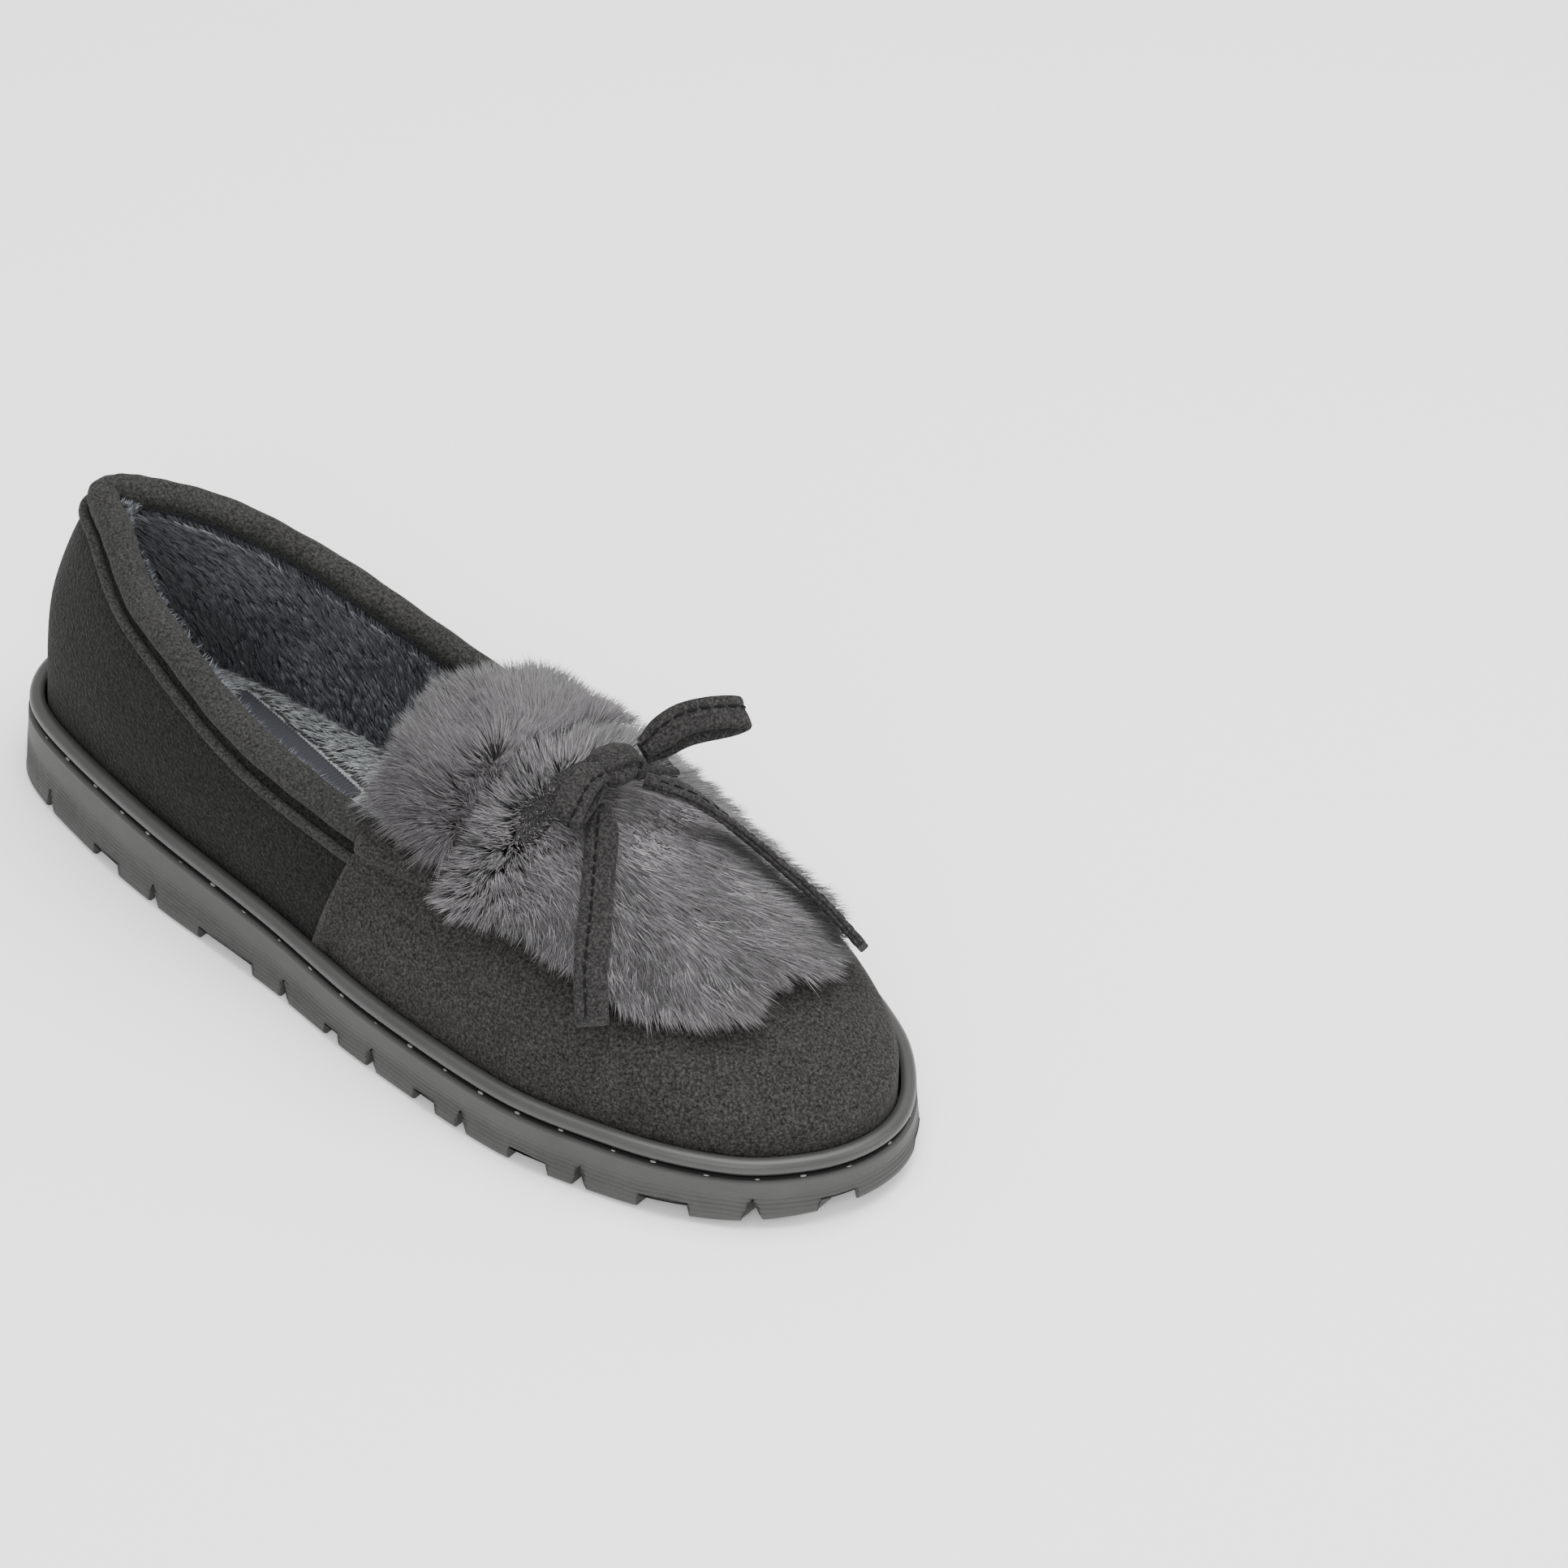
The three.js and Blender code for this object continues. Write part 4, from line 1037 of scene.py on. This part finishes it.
rng = np.random.default_rng(seed)
inner = heel_grid(40, 160, -5.4, high=1.07)
inner_normals = -grid_normals(inner)
half = inner.shape[1] // 2
for name, columns in (("pile_lateral", slice(0, half + 1)), ("pile_medial", slice(half, None))):
    piece = lining_pile(name, rng, inner[:, columns], inner_normals[:, columns], 18500, low=20)
    dress(piece, "shoe", "lining_plush")
front = [g for g in vamp_grids(30, 20, 30)]
for name, grid in (("pile_front_lateral", front[0]), ("pile_front_medial", front[2])):
    normals = grid_normals(grid)
    piece = lining_pile(name, rng, grid - normals * 5.4, -normals, 5200, low=18)
    dress(piece, "shoe", "lining_plush")

# %% [markdown]
# ## Hairs that look over the rim
# Plush that is folded over an edge pushes a few hairs past it. They come in patches, so a
# slow wave decides where they stand, and they lean up and along the collar.

# %% Hairs that look over the rim


def rim_hairs(name, rng, count):
    reach = rim_angle(THROAT_X)
    angles = rng.uniform(-reach, 0.3, count)
    angles = angles[swirl(rim(angles), 5.0) > rng.uniform(-0.5, 1.3, count)]
    count = len(angles)
    place = rim(angles, -3.1 - rng.uniform(0, 0.8, count)[:, None])
    place[:, 2] -= rng.uniform(1.5, 4.5, count)
    inward = -unit(rim(angles, 1.0) - rim(angles, 0.0))
    along = unit(rim(angles + 0.01) - rim(angles - 0.01)) * np.sign(angles)[:, None]
    comb = unit(along * 0.5 + np.array([0, 0, 1.0]) * rng.uniform(0.3, 1.2, (count, 1)))
    return hairs(name, rng, place, inward, comb, 4.4, 1.15, 0.36, rim_tones, tuft=0.55,
                 tuft_every=7, stops=(0, 0.5), taper=(1.0, 0.7))


RIM_HAIRS = 4500
dress(rim_hairs("pile_rim", rng, RIM_HAIRS), "shoe", "lining_plush")

# %% [markdown]
# ## Insole
# A plush sock lies on the foam and the board. A ribbed ribbon label is sewn on the sock.

# %% Sock and label
sock_cloth = suede("sock_cloth", srgb(104, 107, 109), srgb(132, 135, 137), srgb(160, 163, 165), 0.3)
sock_tones = [tone_row("sock_root", [(112, 115, 116), (126, 129, 130)]),
              tone_row("sock_middle", [(118, 122, 123), (132, 136, 137), (146, 150, 151)]),
              tone_row("sock_tip", [(140, 144, 145), (158, 162, 163), (178, 182, 183)])]
ribbon = plain("ribbon", srgb(50, 52, 57), 0.55, 0.1)
INSOLE_INSET = UPPER_INSET - LINING_IN + 0.6
SOCK_LOW, SOCK_HIGH = 6.5, 11.6
LABEL_START, LABEL_END, LABEL_WIDTH = (43.0, 0.0), (89.0, -9.0), (3.0, 15.0)


def slab(name, rings, materials):
    """A body made of outlines, closed with faces straight across, heel to toe."""
    count, sides = rings.shape[:2]
    faces = [list(f) for f in grid_faces(count, sides, 0, False, True)]
    half_way = sides // 2
    for k in range(half_way):
        for first in (0, (count - 1) * sides):
            corners = [k, k + 1, (sides - k - 1) % sides, (sides - k) % sides]
            faces.append([first + c for c in dict.fromkeys(corners)])
    piece = new_piece(name, rings.reshape(-1, 3), faces, materials)
    edit(piece, outward)
    return piece


def sock():
    angles = np.concatenate([np.linspace(0, np.pi, 91), -np.linspace(0, np.pi, 91)[1:-1][::-1]])
    rings = []
    edge = ((0, SOCK_LOW), (0, SOCK_HIGH - 1.2), (0.5, SOCK_HIGH - 0.4), (1.2, SOCK_HIGH - 0.2))
    for inset, rise in edge:
        flat = outline(angles, np.full(len(angles), -INSOLE_INSET - inset))
        rings.append(np.concatenate([flat, cup_floor(flat[:, :1]) + rise], 1))
    return slab("sock", np.stack(rings), [sock_cloth])


def sock_pile(rng, count):
    share = np.linspace(0.0, 1.0, 90)[:, None]
    angles = np.linspace(0.12, 1.8, 120)[None]
    lateral = outline(-angles[0], np.full(120, -INSOLE_INSET + 0.6))
    medial = outline(angles[0], np.full(120, -INSOLE_INSET + 1.6))
    flat = lerp(lateral[None], medial[None], share[..., None])
    grid = np.concatenate([flat, cup_floor(flat[..., :1]) + SOCK_HIGH - 0.3], -1)
    along, over = np.array(LABEL_END) - LABEL_START, np.array(LABEL_WIDTH)
    turned = np.linalg.solve(np.stack([along, over], 1), (flat - LABEL_START).reshape(-1, 2).T)
    inside = (turned[0] > -0.01) & (turned[0] < 1.01) & (turned[1] > -0.02) & (turned[1] < 1.05)
    keep = 1.0 - inside.reshape(flat.shape[:2])
    normals = np.zeros_like(grid) + np.array([0, 0, 1.0])
    roots, normals, _, _ = scatter(rng, grid, normals, count, keep)
    comb = on_surface(np.array([1.0, 0.15, 0]), normals)
    comb = unit(comb + np.array([0, 1.0, 0]) * (0.5 * swirl(roots, 13.0))[:, None])
    return hairs("sock_pile", rng, roots, normals, comb, 5.2, 1.25, 0.6, sock_tones, tuft=0.5,
                 tuft_every=14, stops=(0, 0.5), taper=(1.0, 0.75))


def label():
    """A woven ribbon: fine ribs run across it."""
    t = np.linspace(0, 1, 264)
    start, end, width = (np.array(v) for v in (LABEL_START, LABEL_END, LABEL_WIDTH))
    middle = start + (end - start) * t[:, None]
    rib = 0.2 * np.sin(np.arange(264) * 2 * np.pi / 6)
    rings = []
    section = ((0, 0.45, 0), (1, 0.45, 0), (1, 0.85, 1), (0.93, 1.0, 1), (0.5, 1.05, 1),
               (0.07, 1.0, 1), (0, 0.85, 1))
    for share, rise, ribbed in section:
        flat = middle + width * share
        z = cup_floor(flat[:, 0]) + SOCK_HIGH - 0.1 + rise + rib * ribbed
        rings.append(np.concatenate([flat, z[:, None]], 1))
    points, faces = tube(np.stack(rings, 1))
    piece = new_piece("label", points, faces, [ribbon])
    edit(piece, outward)
    return piece


dress(sock(), "shoe", "sock_plush", "insole_sock")
dress(sock_pile(rng, 18500), "shoe", "sock_plush")
dress(label(), "shoe", "ribbon", "sock_label")

# %% [markdown]
# ## Fur flap and lip
# The long fur is sewn on the vamp's crown. Behind the bow it stands up, and on the loose lip
# it fans back over the opening. In front of the bow it is combed to the toe and out to
# both sides, and it ends in ragged tufts. Round the knot the lace presses it down.

# %% Fur
fur_cloth = suede("fur_cloth", srgb(34, 33, 34), srgb(56, 55, 56), srgb(78, 76, 77), 0.3)
fur_tones = [tone_row("fur_root", [(36, 35, 36), (52, 51, 52)]),
             tone_row("fur_middle", [(76, 75, 76), (104, 102, 104), (134, 131, 133)]),
             tone_row("fur_tip", [(126, 124, 126), (168, 165, 167), (212, 208, 210)])]
# The lip has the same fur as the flap. Its middle and tip tones are the flap's made about a sixth
# darker: painted shade.
lip_tones_painted_shade = [tone_row("lip_root", [(42, 41, 42), (56, 54, 56)]),
             tone_row("lip_middle", [(64, 62, 64), (86, 83, 85), (110, 107, 109)]),
             tone_row("lip_tip", [(106, 102, 105), (140, 136, 139), (178, 173, 176)])]
FLAP_FRONT = smooth_table([-1, -0.8, -0.57, -0.3, 0, 0.4, 0.65, 1],
                          [200, 213, 224, 230.5, 233.5, 232, 225, 212])
FLAP_SHARE, TONGUE_SHARE = 0.67, 0.8
TONGUE_LENGTH, TONGUE_RISE, TONGUE_SIDE_LIFT = 20.0, 4.0, 5.5
KNOT = np.array([166.0, 7.0, 71.0])


def flap_grid(rows, columns, share, lift):
    s = np.linspace(-1, 1, rows)[:, None]
    end = rim_angle(FLAP_FRONT(s))
    ahead = np.linspace(0, 1, columns)[None]
    around = lerp(rim_angle(THROAT_X + 1), end, ahead)
    widened = s * share * (1 + 0.3 * (1 - smoothstep(ahead, 0.05, 0.5)))
    grid = upper(around, crown_across(around, widened))
    normals = grid_normals(grid)
    return grid + normals * lift, normals


def lip_grid(rows, columns, lift):
    t = np.linspace(0, 1, rows)[:, None]
    s = np.linspace(-1, 1, columns)
    around = np.full(columns, rim_angle(THROAT_X))
    edge = upper(around, crown_across(around, s * TONGUE_SHARE))
    grid = np.broadcast_to(edge, (rows, columns, 3)).copy()
    grid[..., 0] -= 1 + TONGUE_LENGTH * t
    grid[..., 1] *= 1 - 0.1 * t
    grid[..., 2] += 0.4 + TONGUE_RISE * t * t + TONGUE_SIDE_LIFT * s ** 4 + lift
    return grid, grid_normals(grid)


flap_skin_grid, _ = flap_grid(36, 40, FLAP_SHARE, 2.2)
dress(sheet_piece("flap_skin", [flap_skin_grid], 1.6, [fur_cloth]), "shoe", "fur", "fur_flap")
lip_skin_grid, _ = lip_grid(14, 36, 3.0)
dress(sheet_piece("lip_skin", [lip_skin_grid], 2.0, [fur_cloth]), "lip", "fur", "tongue")


def flap_fur(name, rng, count, low, high, tones):
    grid, normals = flap_grid(80, 120, FLAP_SHARE, 1.9)
    ahead = np.linspace(0, 1, 120)[None] * np.ones((80, 1))
    keep = ((ahead >= low) & (ahead < high)).astype(float)
    roots, normals, rows, _ = scatter(rng, grid, normals, count, keep)
    share = rows * 2 - 1
    from_throat = roots[:, 0] - THROAT_X
    turn = smoothstep(from_throat, 1, 16)
    forward = on_surface(np.array([1.0, 0, -0.2]), normals) * lerp(-0.15, 1.0, turn)[:, None]
    outward_way = on_surface(np.array([0, 1.0, 0]), normals) * (share * 1.05)[:, None]
    sway = on_surface(np.array([0.3, 1.0, 0]), normals) * (0.35 * swirl(roots, 9.0))[:, None]
    comb = unit(forward + outward_way + sway)
    pressed = 1 - smoothstep(np.linalg.norm((roots - KNOT) * [1, 0.8, 0], axis=1), 5, 15)
    lean = lerp(0.45, 1.16, smoothstep(from_throat, 1, 24)) + 0.12 * swirl(roots, 5.0) + 0.25 * pressed
    length = 11.0 - 1.0 * np.abs(share) - 3.0 * pressed
    return hairs(name, rng, roots, normals, comb, length, lean, 0.36, tones, tuft=0.6,
                 tuft_every=26, stops=(0, 0.5), taper=(1.0, 0.8))


def lip_fur(name, rng, count):
    grid, normals = lip_grid(50, 90, 2.8)
    roots, normals, rows, columns = scatter(rng, grid, normals, count)
    share = columns * 2 - 1
    back_pull = lerp(-0.25, 1.0, smoothstep(rows, 0, 0.6))
    side_pull = share * (0.6 + 1.6 * share ** 2)
    rearward = on_surface(np.array([-1.0, 0, 0.1]), normals) * back_pull[:, None]
    outward_way = on_surface(np.array([0, 1.0, 0]), normals) * side_pull[:, None]
    sway = on_surface(np.array([0.4, 1.0, 0]), normals) * (0.4 * swirl(roots, 8.0))[:, None]
    droop = np.array([0, 0, -1.3]) * (share ** 6)[:, None]
    comb = unit(rearward + outward_way + sway + droop)
    lean = np.maximum(lerp(0.3, 1.15, rows), 1.45 * np.abs(share) ** 3) + 0.15 * swirl(roots, 5.0)
    length = 10.5 + 2.5 * np.abs(share) ** 4
    return hairs(name, rng, roots, normals, comb, length, lean, 0.37, lip_tones_painted_shade, tuft=0.6,
                 tuft_every=26, stops=(0, 0.5), taper=(1.0, 0.8))


FLAP_HAIRS, LIP_HAIRS = 19500, 17000
FLAP_SPLIT = 0.42
dress(flap_fur("fur_rear", rng, FLAP_HAIRS, 0.0, FLAP_SPLIT, fur_tones), "shoe", "fur")
dress(flap_fur("fur_front", rng, FLAP_HAIRS, FLAP_SPLIT, 1.0, fur_tones), "shoe", "fur")
dress(lip_fur("fur_lip", rng, LIP_HAIRS), "lip", "fur")

# %% [markdown]
# ## Lace
# The lace is a flat strap of folded suede with one row of dark stitches along it. It is tied
# in a bow with two loops and two tails. The medial tail stands on its edge in the fur.

# %% Straps
STRAP_LIFT, STRAP_WIDTH, STRAP_THICKNESS = 7.3, 7.6, 2.4
STRAP_PINCH, PINCH_LENGTH = 4.8, 9.0
LOOP_PINCH, LOOP_PINCH_LENGTH = 5.4, 6.0
STITCH_LENGTH, STITCH_GAP = 2.1, 1.0


def spline(points, t):
    """A smooth curve through the points; t runs from 0 to 1."""
    points = np.array(points, float)
    points = np.concatenate([2 * points[:1] - points[1:2], points, 2 * points[-1:] - points[-2:-1]])
    place = np.clip(t, 0, 1) * (len(points) - 3)
    i = np.minimum(place.astype(int), len(points) - 4)
    t = (place - i)[:, None]
    a, b, c, d = (points[i + k] for k in range(4))
    ab, bc, cd = (np.sqrt(np.maximum(np.linalg.norm(q - p, axis=1), 1e-6))[:, None]
                  for p, q in ((a, b), (b, c), (c, d)))
    start = ((b - a) / ab - (c - a) / (ab + bc) + (c - b) / bc) * bc
    end = ((c - b) / bc - (d - b) / (bc + cd) + (d - c) / cd) * bc
    curve = b + start * t + (3 * (c - b) - 2 * start - end) * t ** 2
    return curve + (2 * (b - c) + start + end) * t ** 3


def strap_frames(points, faces, count, both_ends):
    pinch, reach = (LOOP_PINCH, LOOP_PINCH_LENGTH) if both_ends else (STRAP_PINCH, PINCH_LENGTH)
    t = np.linspace(0, 1, count)
    place = spline(points, t)
    along = unit(np.gradient(place, axis=0))
    up = spline(faces, t)
    up = unit(up - along * (up * along).sum(1, keepdims=True))
    steps = np.linalg.norm(np.diff(place, axis=0), axis=1)
    length = np.concatenate([[0], np.cumsum(steps)])
    from_knot = np.minimum(length, length[-1] - length) if both_ends else length
    width = lerp(pinch, STRAP_WIDTH, smoothstep(from_knot, 0, reach))
    return place, np.cross(along, up), up, width, length


def strap_outline(width, wave):
    """A folded strip seen end on: plump at the fold, open at the other edge, with a dent
    where the stitches pull it in."""
    half, thick = width / 2, STRAP_THICKNESS / 2
    across = np.array([1, 0.97, 0.86, 0.62, 0.4, 0.32, 0.24, -0.1, -0.5, -0.85, -0.97, -1])
    height = np.array([0.18, 0.62, 0.92, 0.98, 0.82, 0.72, 0.82, 0.98, 1, 0.9, 0.55, 0])
    top = np.stack([across * half, height * thick + wave * np.sin(across * 2)], -1)
    bottom = np.stack([across[-2:0:-1] * half, -height[-2:0:-1] * thick], -1)
    notch = np.array([[half * 0.86, 0.0]])
    return np.concatenate([top, bottom, notch])


def strap_piece(name, points, faces, count, both_ends=False):
    place, side, up, width, length = strap_frames(points, faces, count, both_ends)
    wave = 0.12 * np.sin(length * 0.6) + 0.08 * np.sin(length * 1.7)
    section = np.stack([strap_outline(w, v) for w, v in zip(width, wave)])
    points, faces = tube(sweep(place, side, up, section))
    piece = new_piece(name, points, faces, [lace_suede])
    edit(piece, outward)
    bpy.ops.object.shade_smooth_by_angle(angle=math.radians(50))
    return piece


def strap_stitches(name, points, faces, both_ends=False, both_faces=True):
    """Short dark capsules in the dent along a strap."""
    place, side, up, width, length = strap_frames(points, faces, 400, both_ends)
    starts = np.arange(PINCH_LENGTH * 0.4, length[-1] - STITCH_LENGTH, STITCH_LENGTH + STITCH_GAP)
    all_points, all_faces, first = [], [], 0
    for start in starts:
        index = np.searchsorted(length, np.linspace(start, start + STITCH_LENGTH, 5))
        index = np.clip(index, 0, len(place) - 1)
        for face in ((1, -1) if both_faces else (1,)):
            rise = (STRAP_THICKNESS / 2 * 0.76 + 0.14) * face
            middle = place[index] + side[index] * width[index, None] * 0.16 + up[index] * rise
            taper = np.array([0.55, 1, 1, 1, 0.55])[:, None, None]
            section = circle(0.34, 6)[None] * taper
            points, made = tube(sweep(middle, side[index], up[index], section))
            all_points.append(points)
            all_faces += [[first + c for c in f] for f in made]
            first += len(points)
    return new_piece(name, np.concatenate(all_points), all_faces, [dark_thread])


def over_crown(x, share, lift):
    around, share = rim_angle(np.array([x])), np.array([share])
    across = crown_across(around, share)
    middle = upper(around, across)
    forward = upper(around + 0.02, across) - upper(around - 0.02, across)
    over = upper(around, across + 0.01) - upper(around, across - 0.01)
    normal = unit(np.cross(forward, over))
    normal = normal if normal[0, 2] > 0 else -normal
    return (middle + normal * lift)[0], normal[0]


def lying(stops):
    places = [over_crown(*stop) for stop in stops]
    return [p for p, _ in places], [n for _, n in places]


def loop_path(root, tip, lift, face, slide, arch):
    """A folded loop: it goes out, turns over at its tip and comes back over itself. face is
    the way its flat side looks and slide moves the upper half aside, so that both show."""
    root, tip, face, slide = (np.array(v, float) for v in (root, tip, face, slide))
    out = tip - root

    def spread(share, rise, aside=0.0):
        bow = np.array([0, 0, arch]) * math.sin(math.pi * share)
        return root + out * share + face * rise + slide * aside + bow

    points = [spread(0, 0), spread(0.4, -0.2), spread(0.9, 0), spread(1, lift / 2, 0.3),
              spread(0.9, lift, 0.6), spread(0.4, lift + 0.6, 1.0), spread(0, lift, 0.4)]
    ahead = out / np.linalg.norm(out)
    return points, [-face, -face, -face, ahead, face, face, face]


lateral_rest = lying([(184, -0.24, STRAP_LIFT), (188, -0.45, STRAP_LIFT), (192, -0.69, STRAP_LIFT),
                      (196.6, -0.9, STRAP_LIFT)])
medial_rest = lying([(195, 0.46, 10), (206, 0.5, 9.6), (217, 0.54, 9.4), (227, 0.6, 9.4)])
bridge = lying([(164, -0.4, STRAP_LIFT), (164.5, -0.15, STRAP_LIFT), (165, 0.12, STRAP_LIFT),
                (165.5, 0.4, STRAP_LIFT), (166, 0.65, STRAP_LIFT)])
edgewise = [0.15, 0.8, 0.6]
straps = {
    "tail_lateral": ([[169.7, -1.0, 66.2], [174.2, -6.2, 64.6], *lateral_rest[0]],
                     [[0.2, -0.3, 1], [0.2, -0.4, 1], *lateral_rest[1]], 70, False, "lace_tail_lateral"),
    "tail_medial": ([[173.5, 9.5, 69.5], [183, 14, 67.5], *medial_rest[0]],
                    [[0.2, 0.3, 1], [0.3, 0.6, 0.7], edgewise, edgewise, edgewise, edgewise],
                    80, False, "lace_tail_medial"),
    "loop_medial": (*loop_path([167.8, 15.6, 70.2], [180, 36.5, 74.5], 3.4, [0.55, -0.42, 0.72],
                                [-1.6, 0.4, 1.6], 2.6), 90, True, "bow_loop_medial"),
    "loop_lateral": (*loop_path([167.4, 0.4, 71.0], [169.5, -13.8, 69.0], 3.6, [0.42, -0.05, 0.9],
                                 [-1.8, 0.2, 0.6], 1.2), 80, True, "bow_loop_lateral"),
    "bridge": (*bridge, 50, False, "lace_bridge"),
}
for name, (points, faces, count, both_ends, node) in straps.items():
    body = "shoe" if name == "bridge" else name
    dress(strap_piece(f"strap_{name}", points, faces, count, both_ends), body, "lace_suede", node)
    if name != "bridge":
        stitches = strap_stitches(f"stitches_{name}", points, faces, both_ends, not both_ends)
        dress(stitches, body, "sole_thread")

# %% [markdown]
# ## Knot
# The knot is a wrapped band of the same strap. Its core is a squashed ball with creases, and
# a short band crosses over it.

# %% Knot


def knot_core():
    bpy.ops.object.select_all(action="DESELECT")
    bpy.ops.mesh.primitive_uv_sphere_add(segments=48, ring_count=28, radius=1)
    core = bpy.context.object
    core.name = "knot_core"
    mesh = core.data
    points = np.array([v.co[:] for v in mesh.vertices])
    crease = 0.07 * np.sin(points[:, 0] * 9 + points[:, 1] * 3) * np.clip(points[:, 2] + 0.3, 0, 1)
    points *= (1 + crease)[:, None]
    points = points * [5.6, 6.2, 3.3] + KNOT - [0, 0, 0.5]
    mesh.vertices.foreach_set("co", ((points - MIDDLE) * MM).ravel())
    mesh.materials.append(lace_suede)
    mesh.polygons.foreach_set("use_smooth", np.ones(len(mesh.polygons), bool))
    mesh.update()
    return core


def knot_band():
    """The strap that is wrapped over the core, from the lateral rear to the medial front."""
    t = np.linspace(-1.9, 1.9, 7)
    way = np.array([0.35, 0.94, 0])
    points = [KNOT + way * 6.1 * math.sin(a) + np.array([0, 0, 3.1 * math.cos(a) - 0.3]) for a in t]
    faces = [way * math.sin(a) + np.array([0, 0, math.cos(a)]) for a in t]
    return strap_piece("knot_band", points, faces, 40, True)


dress(knot_core(), "shoe", "lace_suede", "bow_knot")
dress(knot_band(), "shoe", "lace_suede")

# %% [markdown]
# ## Hidden layers
# The board, the foam and the stiffeners stay as the CAD made them. The foam gets its own
# material and the board and stiffeners share one, for anyone who opens the shoe up.

# %% Hidden layers
board_paint = suede("board_paint", srgb(96, 84, 70), srgb(128, 114, 96), srgb(150, 138, 120), 0.3)
foam_paint = suede("foam_paint", srgb(196, 190, 176), srgb(214, 208, 194), srgb(228, 222, 210), 0.2)
for node_name, paint in (("insole_board", board_paint), ("insole_foam", foam_paint),
                         ("heel_counter", board_paint), ("toe_puff", board_paint)):
    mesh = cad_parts[node_name].data
    mesh.materials.clear()
    mesh.materials.append(paint)
